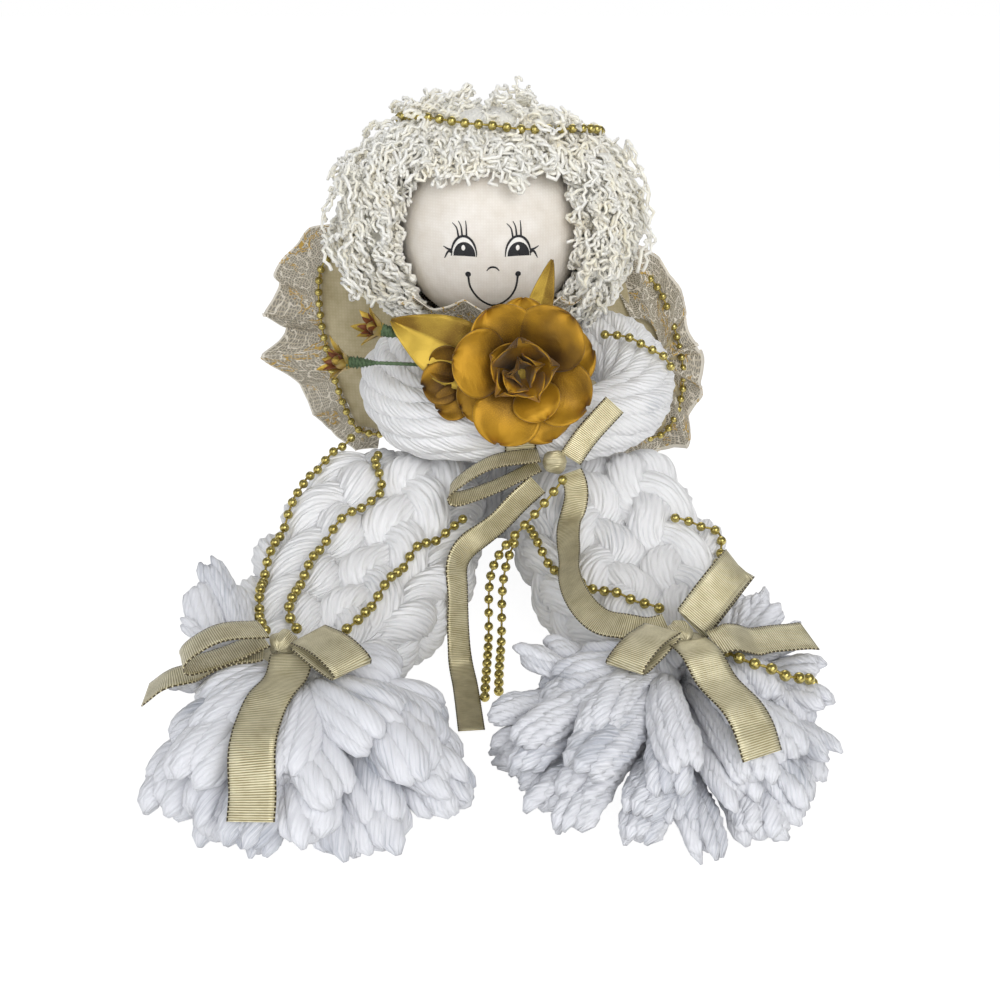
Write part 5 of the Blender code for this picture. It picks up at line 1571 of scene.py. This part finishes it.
    def stems(self) -> None:
        """Build the paper-wrapped wires of the buds and the rose, along their nodes, and the rose's base."""
        hub = self.hub + 0.0004
        for word, rise, x, y in (("upper", 0.45, -0.052, 0.016), ("lower", -0.42, -0.066, 0.004)):
            start = (-hub * math.cos(rise), hub * math.sin(rise), self.behind - 0.0022)
            half = (x * 0.55, y * 0.6, self.behind - 0.0045)
            line = smooth_path(self.turned((start, half, (x, y, self.behind - 0.0030))), 40)
            line = smooth_path(np.vstack([line[::6], middle_of(f"bud_{word}")]), 50)
            cup = np.interp(np.linspace(0, 1, 50), (0, 0.78, 0.88, 1), (0.0009, 0.0009, 0.0026, 0.0030))
            skin = Skin()
            skin.yarn(line, UP, cup, 0.004, 2, 0.12, 8)
            seat(skin.piece(f"bud_wire_{word}", STEM_GREEN), "torso", Slot.STEM, f"bud_stem_{word}")
        foot = self.turned(((0, 0, self.base_low), (0, -0.001, self.base_low - 0.004)))
        end = np.array((foot[0][0], -0.070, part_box("rose_stem")[0].z))
        skin = Skin()
        line = smooth_path(np.vstack([foot, end + UP * 0.005, end]), 30)
        skin.yarn(line, ACROSS, 0.0015, 0.005, 2, 0.1, 10)
        seat(skin.piece("rose_wire", STEM_GREEN), "torso", Slot.STEM, "rose_stem")
        base = self.turned(UP * np.linspace(self.base_low, self.base_high, 8)[:, None])
        girth = 0.0084 * np.array((0.35, 0.7, 0.9, 1.0, 1.0, 0.97, 0.9, 0.7))
        skin = Skin()
        skin.yarn(base, ACROSS, girth, 0.4, 7, 0.06, 28, tint=0.3)
        seat(skin.piece("rose_satin_base", BUD_SATIN), "torso", Slot.SATIN, "rose_base")

    def build(self, rng: Random) -> None:
        """Build the rose from its outer petals in, then what sits behind it."""
        for word, petals in (("outer", OUTER_PETALS), ("middle", MIDDLE_PETALS), ("heart", HEART_PETALS)):
            self.ring(word, petals, rng)
        hub = self.hub + 0.0007
        # The last value is the tint of each leaf's painted light half.
        self.leaf("satin_leaf_large", "gold_leaf", (-hub, -0.001, self.behind), (-0.053, 0.021, self.behind),
                  0.027, 0.0016, 0.7)
        self.leaf("satin_leaf_small", "gold_leaf_small", (0.003, hub, self.behind), (0.0125, 0.045, -0.009),
                  0.010, 0.001, 0.25)
        for word in ("upper", "lower"):
            self.bud(word, rng)
        self.stems()


# Ribbons

@dataclass
class RibbonWork:
    """The ribbon of one tie and its bow: the wound band, the knot, the loops and the tails."""

    body: str
    finish: RibbonFinish
    surfaces: list[BVHTree]
    thickness: float = 0.0004
    clearance: float = 0.0012
    slope: float = 0.4
    loop_lift: float = 0.006
    knot_radius: float = 0.0044
    knot_half: float = 0.0050

    def strip(self, name: str, path: Array, across: Array) -> Object:
        joined = resample(np.hstack([path, across]), max(40, int(lengths(path)[-1] / 0.0016)))
        line, wide = joined[:, :3], joined[:, 3:]
        for _ in range(3):
            ease(line)
        along = lengths(line)
        shares = np.linspace(-0.5, 0.5, 7) * self.finish.width
        rows = line[:, None] + frames(line, wide)[1][:, None] * shares[None, :, None]
        skin = Skin()
        skin.grid(rows, shares + self.finish.width / 2, along)
        obj = skin.piece(name, self.finish, thickness=self.thickness)
        return obj

    def tail(self, name: str, points: Sequence, across: Sequence) -> Object:
        """Lay a ribbon's tail along a route, with its first end held, and build it."""
        count = max(24, len(points) * 5)
        path = smooth_path(mm(points), count)
        share, given = np.linspace(0, 1, count), np.linspace(0, 1, len(across))
        wide = np.stack([np.interp(share, given, column) for column in np.array(across, float).T], axis=1)
        need = lift_over(path, wide, self.finish.width, self.surfaces, self.clearance)
        raised = bridge(path, need * np.clip(8 * share, 0, 1), self.slope)
        obj = self.strip(name, raised, wide)
        self.surfaces.append(surface_of(obj))
        return obj

    def loop(self, name: str, node: str, start: Sequence, tip: Sequence, lift: Sequence,
             across: Sequence) -> None:
        """Lay one bow loop, out along its lower side, round and back above, and build it."""
        a, b, up = mm(start), mm(tip), mm(lift)
        half = a + (b - a) * 0.55
        out, back = (a, half - up * 0.25, b - up * 0.1), (b + up * 0.55, half + up * 1.1, a + up * 0.55)
        path = smooth_path(out + back, 40)
        wide = np.tile(np.array(across, float), (len(path), 1))
        need = lift_over(path, wide, self.finish.width, self.surfaces[:1], self.clearance)[6:-6].max()
        obj = self.strip(name, path + TOWARDS_EYE * np.clip(need, 0.0, self.loop_lift), wide)
        seat(obj, self.body, Slot.RIBBON, node)

    def band(self, name: str, node: str, rings: Array, width: float) -> None:
        """Build a wound band from rings of points set side by side along its width."""
        girth = np.linalg.norm(rings[0, 1] - rings[0, 0]) * rings.shape[1]
        rows = np.concatenate([rings, rings[:, :1]], axis=1).transpose(1, 0, 2)
        skin = Skin()
        skin.grid(rows, np.linspace(0, width, len(rings)), np.linspace(0, girth, len(rows)))
        seat(skin.piece(name, self.finish, thickness=self.thickness * 2), self.body, Slot.RIBBON, node)

    def knot(self, name: str, node: str, along: Sequence) -> None:
        """Build a knot as a short bulging wrap of ribbon that covers its node."""
        axis = unit(np.array(along, float))
        side = unit(np.cross(axis, ASKEW))
        ring = np.linspace(0, TURN, 37)
        columns = []
        for share in np.linspace(-1, 1, 15):
            swell = self.knot_radius * (1 - share**4) ** 0.5 * (1 - 0.3 * share**2) + 0.0003
            swell = swell * (1 + 0.10 * np.sin(4 * ring + 3 * share) + 0.05 * np.sin(9 * ring))
            columns.append(middle_of(node) + axis * share * self.knot_half
                           + swell[:, None] * around(ring, side, np.cross(axis, side)))
        skin = Skin()
        skin.grid(np.stack(columns, axis=1), np.linspace(0.08, 0.92, 15) * self.finish.width,
                  np.linspace(0, 0.036, 37))
        seat(skin.piece(name, self.finish), self.body, Slot.RIBBON, node)

    def ankle(self, word: str, tie: tuple, along: tuple, loops: Sequence, tails: Sequence) -> None:
        """Build one ankle's wound tie and bow."""
        y, x, half_wide, low, high = tie
        turn = TURN * np.arange(60) / 60
        c, s = squared(np.cos(turn), 0.667), squared(np.sin(turn), 0.667)
        rings = []
        for share in np.linspace(-1, 1, 9):
            grow = 0.9 + 0.25 * math.cos(3 * share) + 0.25 * np.sin(5 * turn + share)
            rings.append(np.stack([x + c * (half_wide + grow), y + 6.0 * share + 0.8 * np.sin(2 * turn + 1),
                                   (low + high) / 2 + s * ((high - low) / 2 + grow)], axis=1))
        self.band(f"ankle_wound_tie_{word}", f"ankle_tie_{word}", mm(rings), 0.012)
        self.knot(f"ankle_bow_knot_{word}", f"ankle_knot_{word}", along)
        for name, *places in loops:
            self.loop(f"ankle_bow_loop_{name}", f"ankle_loop_{name}", *places)
        for name, points, across in tails:
            node = f"ankle_tail_{name}"
            seat(self.tail(f"ankle_bow_tail_{name}", points, across), self.body, Slot.RIBBON, node)

    def chest(self, loop: tuple, tails: Sequence) -> None:
        """Build the tie round the hands and the bow that hangs from it."""
        low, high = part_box("hand_tie")
        turn = TURN * np.arange(48) / 48
        rings = []
        for share in np.linspace(0, 1, 9):
            grow = 0.0137 + 0.0003 * np.sin(5 * turn + 4 * share)
            rings.append(np.stack([np.full_like(turn, low.x + (high.x - low.x) * share),
                                   (low.y + high.y) / 2 + grow * np.cos(turn),
                                   (low.z + high.z) / 2 + grow * np.sin(turn)], axis=1))
        self.band("hand_wound_tie", "hand_tie", np.array(rings), self.finish.width)
        self.knot("hand_bow_knot", "chest_knot", ACROSS)
        self.loop("hand_bow_loop", "chest_loop", *loop)
        for name, points, across, leg in tails:
            node = f"chest_tail_{name}"
            obj = self.tail(f"hand_bow_tail_{name}", points, across)
            if leg is None:
                seat(obj, self.body, Slot.RIBBON, node)
            else:
                hang(obj, leg, node)


# Beads

@dataclass
class BeadWork:
    """Strings of gold beads fused on a thin gold thread."""

    spacing: float = 0.0059
    thread: float = 0.00052
    stand: float = BEAD / 2 + 0.0002
    slope: float = 0.45
    fine: float = 0.0001
    halo_lift: float = 0.0046

    @cached_property
    def form(self) -> tuple[Array, Array]:
        """One bead, drilled along its thread: its points and triangles."""
        bpy.ops.object.select_all(action="DESELECT")
        bpy.ops.mesh.primitive_uv_sphere_add(segments=14, ring_count=9, radius=BEAD / 2)
        obj = bpy.context.object
        bpy.ops.object.mode_set(mode="EDIT")
        bpy.ops.mesh.select_all(action="SELECT")
        bpy.ops.mesh.quads_convert_to_tris()
        bpy.ops.object.mode_set(mode="OBJECT")
        points = corners(obj)
        points[:, 2] = np.clip(points[:, 2], -0.93 * BEAD / 2, 0.93 * BEAD / 2)
        mesh = obj.data
        faces = np.array([tuple(p.vertices) for p in mesh.polygons])
        bpy.data.objects.remove(obj)
        bpy.data.meshes.remove(mesh)
        return points, faces

    def string(self, node: str, path: Array, body: str, leg: Optional[str] = None) -> Object:
        """Args:
            node: the node that it stands for.
            path: the laid line.
            body: the body that it rides on.
            leg: a leg that its hanging end runs towards, if any.
        Returns:
            The string.
        """
        line = smooth_path(path, max(60, int(lengths(path)[-1] / 0.0009)))
        long = float(lengths(line)[-1])
        reached = np.linspace(BEAD / 2, long - BEAD / 2, round((long - BEAD) / self.spacing) + 1)
        places = resample(np.hstack([line, frames(line, ASKEW)[0]]), int(long / self.fine) + 1)
        picked = places[np.clip((reached / self.fine).astype(int), 0, len(places) - 1)]
        ahead = unit(picked[:, 3:])
        side = unit(np.cross(ahead, (0.3, 0.5, 0.8)))
        skin = Skin()
        skin.copies(*self.form, picked[:, :3], np.stack([side, np.cross(ahead, side), ahead], axis=-1))
        skin.yarn(line, ASKEW, self.thread, 0.003, 2, 0.1, 8, slot=1)
        obj = skin.piece(f"gold_{node}", GOLD_BEADS, GOLD_THREAD)
        if leg is None:
            seat(obj, body, Slot.BEADS, node)
        else:
            hang(obj, leg, node)
        return obj

    def on_yarn(self, path: Array, pieces: Sequence[Object], give: float) -> Array:
        """Return a line laid on the yarn of some pieces, looked for as far as give below it."""
        need = lift_over(path, ACROSS, BEAD / 2, [surface_of(*pieces)], self.stand, give=give)
        return bridge(path, need, self.slope)

    def build(self, legs: dict, arms: Sequence[Object], hair: CurlyHair, wings: Sequence[Wing]) -> dict:
        """Lay every bead string on what carries it.

        Args:
            legs: each side's leg and foot pieces.
            arms: the two arm pieces.
            hair: the hair that carries the halo.
            wings: the two wings.
        Returns:
            Each leg's strings.
        """
        strings: dict = {side: [] for side in Side}
        for node, side, route in LEG_BEADS:
            path = self.on_yarn(smooth_path(mm(route), 5 * len(route)), legs[side], 0.010)
            strings[side].append(self.string(node, path, f"leg_{side.word}"))
        carriers = [surface_of(frame["nodes"][node]) for node in BEAD_CARRIERS]
        for node, leg, route in CHEST_BEADS:
            path = lay(smooth_path(mm(route), 3 * len(route)), carriers, self.stand)
            if leg is None:
                path = self.on_yarn(path, arms, 0.004)
            self.string(node, path, "torso", leg)
        turn = np.radians(np.linspace(-118, 118, 60))
        rise = np.radians(46 + 13 * np.cos(turn) - 5 * np.sin(turn))
        self.string("halo_beads", hair.point(turn, rise, hair.reach(turn, rise) + self.halo_lift), "head")
        for wing in wings:
            self.string(f"wing_beads_{wing.side.word}", wing.bead_line(), wing.body)
        return strings


# Stage

@dataclass
class Studio:
    """The pale floor, the soft lamps and the camera."""

    camera_place: tuple = (0.0045, -0.508, 0.244)
    camera_tilt: float = 66.0
    lens_mm: float = 39.6
    sensor_mm: float = 36.0
    # Name, place, aim, size, power and colour of each lamp.
    lamps: Sequence = (("key_lamp", (0.45, -0.92, 0.72), (0, -0.08, 0.09), 0.7, 4.8, "#FFFFFF"),
                       ("fill_lamp", (-0.85, -0.70, 0.50), (0, -0.08, 0.09), 0.8, 2.5, "#F4F8FF"),
                       ("front_lamp", (0.03, -1.10, 0.42), (0, -0.05, 0.12), 0.9, 3.5, "#FFFFFF"),
                       ("back_lamp", (0.1, 0.75, 0.8), (0, 0, 0.1), 0.7, 3.2, "#FFFFFF"))

    def camera(self) -> None:
        """Set the camera at the photograph's viewing angle."""
        data = bpy.data.cameras.new("camera")
        data.lens = self.lens_mm
        data.sensor_width = self.sensor_mm
        data.clip_start = 0.01
        obj = new_object("camera", data)
        obj.location = self.camera_place
        obj.rotation_euler = (math.radians(self.camera_tilt), 0.0, 0.0)
        bpy.context.scene.camera = obj

    def lamp(self, name: str, place: tuple, aim: tuple, size: float, power: float, colour: str) -> None:
        """Add a square soft lamp that points at a place."""
        data = bpy.data.lights.new(name, "AREA")
        data.size = size
        data.energy = power
        data.color = linear(colour)[:3]
        obj = new_object(name, data)
        obj.location = place
        obj.rotation_euler = (Vector(aim) - Vector(place)).to_track_quat("-Z", "Y").to_euler()

    def floor(self) -> None:
        """Lay a wide pale floor that looks white to the camera and keeps the doll's shadow."""
        bpy.ops.object.select_all(action="DESELECT")
        bpy.ops.mesh.primitive_plane_add(size=60.0, location=(0.0, 20.0, -0.0004))
        obj = bpy.context.object
        obj.name = "pale_floor"
        bpy.ops.object.transform_apply(location=True, rotation=True, scale=True)
        material = bpy.data.materials.new("matt_white_paper")
        material.use_nodes = True
        tree = material.node_tree
        add = partial(add_node, tree)
        paper = set_node(tree, tree.nodes["Principled BSDF"], linear("#F6F6F6"), Roughness=0.9)
        ray = add("LightPath").outputs
        seen = add("Math", ray["Is Camera Ray"], ray["Is Glossy Ray"], operation="MAXIMUM")
        share = add("Math", seen, 0.74, operation="MULTIPLY")
        glow = add("Emission", (1, 1, 1, 1), Strength=1.26)
        set_node(tree, tree.nodes["Material Output"], add("MixShader", share, paper, glow))
        obj.data.materials.append(material)

    def world(self) -> None:
        """Fill the room with soft white light, and show white behind the doll."""
        world = bpy.data.worlds.new("soft_white_room")
        world.use_nodes = True
        bpy.context.scene.world = world
        tree = world.node_tree
        ray = add_node(tree, "LightPath").outputs
        seen = add_node(tree, "Math", ray["Is Camera Ray"], ray["Is Transmission Ray"], operation="MAXIMUM")
        strength = add_node(tree, "Math", seen, 0.64, 0.36, operation="MULTIPLY_ADD")
        set_node(tree, tree.nodes["Background"], (1, 1, 1, 1), strength)

    def build(self) -> None:
        """Build the whole stage."""
        bpy.context.scene.view_settings.view_transform = "Standard"
        self.camera()
        self.floor()
        self.world()
        for lamp in self.lamps:
            self.lamp(*lamp)


# The doll's own sizes and routes, in millimetres

# Each petal's tint, the seventh value, follows how light or dark it looked: the petals lying behind are
# darkest and the small heart petals at the front lightest. This is partly uneven dye and partly painted light
# and shade.
OUTER_PETALS = (
    Petal(88, 10, 20, 20, (15, 0), 2, 0.6, -9), Petal(117, 6, 24, 27, (38, 5), 4, 0.15, -6),
    Petal(49, 6, 26, 30, (40, 8), 4, 0.05, -5), Petal(18, 8, 23, 26, (25, -5), 3, 0.3, -8),
    Petal(-28, 7, 24, 27, (30, -5), 4, 0.2, -7), Petal(-64, 8, 23, 25, (22, -12), 3, 0.25, -8),
    Petal(-108, 7, 24, 28, (28, -8), 4, 0.3, -6), Petal(-147, 9, 20, 22, (20, -10), 3, 0.15, -8),
    Petal(168, 6, 24, 28, (40, 8), 4, 0.4, -5), Petal(188, 24, 17, 18, (25, -15), 3, 0.0, -11),
    Petal(204, 22, 16, 15, (25, -15), 3, 0.05, -12), Petal(174, 23, 15, 15, (30, -10), 3, 0.05, -12),
)
MIDDLE_PETALS = (
    Petal(95, 2, 18, 23, (70, 35), 6, 0.2, -5), Petal(8, 2.5, 17, 20, (65, 30), 6, 0.3, -5),
    Petal(150, 3, 15, 18, (60, 25), 5, 0.35, -6), Petal(-62, 6, 17, 20, (45, 5), 4, 0.7, -6),
    Petal(-135, 4, 14, 15, (65, 35), 6, 0.35, -6),
)
HEART_PETALS = (
    Petal(-58, 3, 15, 15, (70, 36), 4, 0.95, -4), Petal(-125, 3, 13, 13, (76, 48), 4, 0.75, -4),
    Petal(18, 2, 14, 14, (80, 58), 4, 0.4, -4), Petal(105, 1.5, 13, 13, (86, 72), 4, 0.15, -4),
    Petal(190, 1.5, 12, 12, (85, 68), 4, 0.3, -4),
)
LEFT_LEG = ((-75, -49, 44, 1, 60), (-95, -53, 46, 0.6, 52), (-112, -57, 43, 0.6, 46),
    (-128, -60, 41, 0.6, 44), (-145, -62, 34, 0.6, 42), (-160, -65, 25, 2, 40), (-169, -66, 17.5, 5, 37),
    (-190, -66, 17.5, 5, 37))
RIGHT_LEG = ((-75, 54, 42, 1, 60), (-92, 59, 43, 0.6, 52), (-108, 61, 41, 0.6, 46),
    (-124, 63, 39, 0.6, 44), (-138, 65, 33, 0.6, 42), (-152, 66, 25, 2, 40), (-161, 66, 17.5, 5, 37),
    (-182, 66, 17.5, 5, 37))
LEFT_TIE = (-176, -66, 17.5, 5, 37)
RIGHT_TIE = (-168, 66, 17.5, 5, 37)
LEFT_FAN = ((-104, -143, 55), (-98, -146, 46), (-106, -152, 48), (-100, -158, 36), (-109, -164, 43),
    (-103, -172, 38), (-107, -178, 26), (-106, -188, 30), (-96, -160, 22), (-33, -190, 28),
    (-25, -196, 23), (-6, -220, 11))
RIGHT_FAN = ((98, -150, 46), (92, -150, 38), (104, -158, 44), (106, -164, 34), (111, -169, 41),
    (112, -178, 28), (114, -185, 35), (112, -196, 29), (112, -211, 21), (12, -172, 34), (24, -166, 30),
    (2, -196, 24), (4, -203, 15))
LEFT_ARM = ((-26, 8, 88), (-37, -8, 95), (-42, -32, 90), (-32, -56, 83), (-12, -68, 82), (6, -70, 82))
RIGHT_ARM = ((30, 8, 90), (50, -4, 100), (65, -26, 96), (62, -52, 86), (40, -67, 82), (20, -70, 82))
LEFT_RIM = ((-54, 130), (-72, 135), (-84, 128), (-88, 114), (-87, 90), (-82, 64), (-73, 40), (-58, 36))
RIGHT_RIM = ((52, 124), (70, 126), (84, 116), (93, 98), (100, 76), (101, 56), (93, 36), (72, 32))
LEFT_EDGE = ((-50, 146), (-73, 148), (-91, 144), (-100, 135), (-112, 122), (-110.5, 114), (-117, 101),
    (-110, 89), (-119.5, 80), (-117.5, 74), (-106, 63), (-97, 49), (-85, 32), (-64, 26))
RIGHT_EDGE = ((50, 137), (75, 137), (90, 124), (100, 108), (104, 92), (114, 74), (111, 64), (113, 54),
    (108, 42), (107, 28), (86, 21), (70, 21))
LEFT_BOW = (
    (("left_outer", (-76.6, -181, 46), (-101, -194, 44), (0, 0, 7), (0.35, -1, 0.1)),
     ("left_inner", (-61, -182, 43), (-44, -200, 42), (0, 0, 4), (0.8, 0.6, 0.1))),
    (("left_outer", ((-76.4, -185.0, 43.4), (-96, -188, 39), (-116, -193, 31)), ((0, -1, 0.1),
      (0.2, -1, 0.1))),
     ("left_front", ((-66, -189.4, 45), (-66, -201, 44), (-70, -215, 42), (-71, -229, 36),
      (-70, -239, 25), (-70, -244, 15)), ((1, 0, 0), (1, 0, 0)))),
)
RIGHT_BOW = (
    (("right_outer", (72, -172, 46), (91, -151, 58), (0, -3, 4), (0.65, -0.31, -0.69)),
     ("right_inner", (60.6, -178, 43), (46, -196, 40), (0, 0, 4), (0.8, -0.6, 0.1))),
    (("right_outer", ((77, -184, 43), (93, -179, 42), (113, -171, 33)), ((0, 1, 0.1), (0.1, 1, 0.1))),
     ("right_front", ((68.6, -182.9, 45), (75, -203, 43), (81, -215, 39), (86, -227, 29)), ((1, 0.3, 0),
      (1, 0.4, 0)))),
)
CHEST_LOOP = ((20.5, -89, 73), (-15, -95, 61), (0, 1, 8), (0.1, 1, 0.25))
CHEST_TAILS = (
    ("short", ((33.4, -89, 76), (40, -88, 86), (51, -85, 98)), ((0.7, -0.1, -0.6), (0.7, -0.1, -0.6)),
     None),
    ("long", ((33.5, -89, 70), (36, -88, 64), (36, -92, 58), (33, -99, 53), (32, -108, 49),
      (32, -119, 47), (31, -134, 46), (33, -149, 45), (38, -162, 44), (46, -170, 43), (56, -173, 43),
      (63, -172, 44)), ((1, 0, 0), (1, 0, 0.3), (0.8, 0, 0.6), (0.7, 0.3, 0.6), (0.5, 0.6, 0.6),
      (0.25, 0.85, 0.4)), "leg_right"),
    ("hanging", ((20, -92, 66), (12, -94, 59), (4, -97, 51), (-3, -101, 47), (-9, -107, 45),
      (-13, -113, 40), (-12.5, -117, 28), (-12.5, -121, 14), (-11.5, -129, 4), (-9, -144, 1.5),
      (-6, -172, 1.5)), ((0.74, 0, -0.67), (0.8, 0.3, -0.4), (0.75, 0.65, 0), (0.9, 0.3, 0), (1, 0, 0)),
      "leg_left"),
)
BEAD_CARRIERS = ("arm_left", "arm_right", "body_bundle", "hand_tie", "leg_left", "leg_right")
LEG_BEADS = (
    ("leg_beads_left_outer", Side.LEFT, ((-61, -45, 70), (-67, -52, 68), (-73, -61, 65), (-79, -72, 60),
     (-83, -84, 55), (-86, -97, 50), (-88, -109, 46), (-89, -121, 44), (-88, -132, 43), (-86, -146, 42),
     (-84, -156, 40), (-79, -166, 36))),
    ("leg_beads_left_middle", Side.LEFT, ((-49, -56, 69), (-50, -64, 67), (-47, -74, 63), (-46, -83, 59),
     (-54, -93, 55), (-63, -104, 51), (-69, -119, 48), (-72, -138, 46), (-73, -156, 43),
     (-68, -166, 41))),
    ("leg_beads_left_inner", Side.LEFT, ((-10, -88, 50), (-19, -101, 49), (-29, -113, 48),
     (-36, -130, 46), (-42, -146, 44), (-47, -160, 41), (-52, -166, 39))),
    ("leg_beads_right_inner", Side.RIGHT, ((17, -88, 48), (21, -104, 45), (27, -119, 44), (36, -132, 44),
     (46, -141, 43), (57, -149, 43), (65, -154, 42))),
    ("leg_beads_right_outer", Side.RIGHT, ((75, -96, 54), (86, -96, 51), (95, -97, 46), (95, -106, 44),
     (92, -116, 44), (90, -130, 43), (84, -146, 42), (78, -156, 40))),
    ("foot_beads_right", Side.RIGHT, ((80, -184, 40), (87, -191, 38), (97, -194, 34), (106, -190, 26),
     (112, -182, 16))),
)
CHEST_BEADS = (
    ("arm_beads_right", None, ((49, -34, 113), (56, -37, 114), (64, -41, 113), (73, -44, 108),
     (80, -46, 100))),
    ("chest_beads_first", "leg_right", ((31, -98, 72), (26, -101, 66), (20, -104, 59), (12, -106, 51),
      (4.0, -104, 41), (0.2, -101, 30), (-0.4, -98, 14), (-0.2, -101, 5), (-0.2, -110, 2.5),
      (-0.8, -128, 2.5), (-1.4, -154, 2.5))),
    ("chest_beads_second", "leg_right", ((11, -101, 45), (7.4, -101, 37), (5.4, -100, 24),
      (5.2, -100, 12), (5.2, -104, 5), (5.2, -112, 2.5), (4.2, -130, 2.5), (4.0, -150, 2.5))),
)


def main() -> None:
    """Build every piece of the doll and report it."""
    logging.basicConfig(level=logging.INFO, format="%(name)s %(message)s")
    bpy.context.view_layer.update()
    rng = np.random.default_rng(20)
    Studio().build()
    YarnBody().build(rng)
    arms = [YarnArm(Side.LEFT, LEFT_ARM).build(rng), YarnArm(Side.RIGHT, RIGHT_ARM).build(rng)]
    legs = {
        Side.LEFT: [PlaitedLeg(Side.LEFT, -0.003, LEFT_LEG, twist=0.07).build(rng),
                    MopFoot(Side.LEFT, (-57, -203), (52, 41), (-66, -182), LEFT_FAN).build(rng)],
        Side.RIGHT: [PlaitedLeg(Side.RIGHT, 0.008, RIGHT_LEG).build(rng),
                     MopFoot(Side.RIGHT, (59, -197), (55, 42), (66, -174), RIGHT_FAN, fan_size=0.85,
                             width=0.0082, lay=0.03, ridge=0.12).build(rng)],
    }
    MuslinHead().build()
    hair = CurlyHair()
    hair.build(rng)
    wings = [Wing(Side.LEFT, LEFT_RIM, LEFT_EDGE),
             Wing(Side.RIGHT, RIGHT_RIM, RIGHT_EDGE, tuck=(0.030, -0.0070))]
    for wing in wings:
        wing.build()
    Collar().build()
    SatinRose().build(rng)
    yarn = {side: surface_of(*pieces) for side, pieces in legs.items()}
    strings = BeadWork().build(legs, arms, hair, wings)
    beads = {side: surface_of(*pieces) for side, pieces in strings.items()}
    for side, tie, along, bow in ((Side.LEFT, LEFT_TIE, (0.3, 1, 0), LEFT_BOW),
                                  (Side.RIGHT, RIGHT_TIE, (-0.3, 1, 0), RIGHT_BOW)):
        work = RibbonWork(f"leg_{side.word}", WIDE_LAME, [yarn[side], beads[side]])
        work.ankle(side.word, tie, along, *bow)
    work = RibbonWork("torso", NARROW_LAME, [surface_of(*arms), *yarn.values(), *beads.values()])
    work.chest(CHEST_LOOP, CHEST_TAILS)


if __name__ == "__main__":
    main()
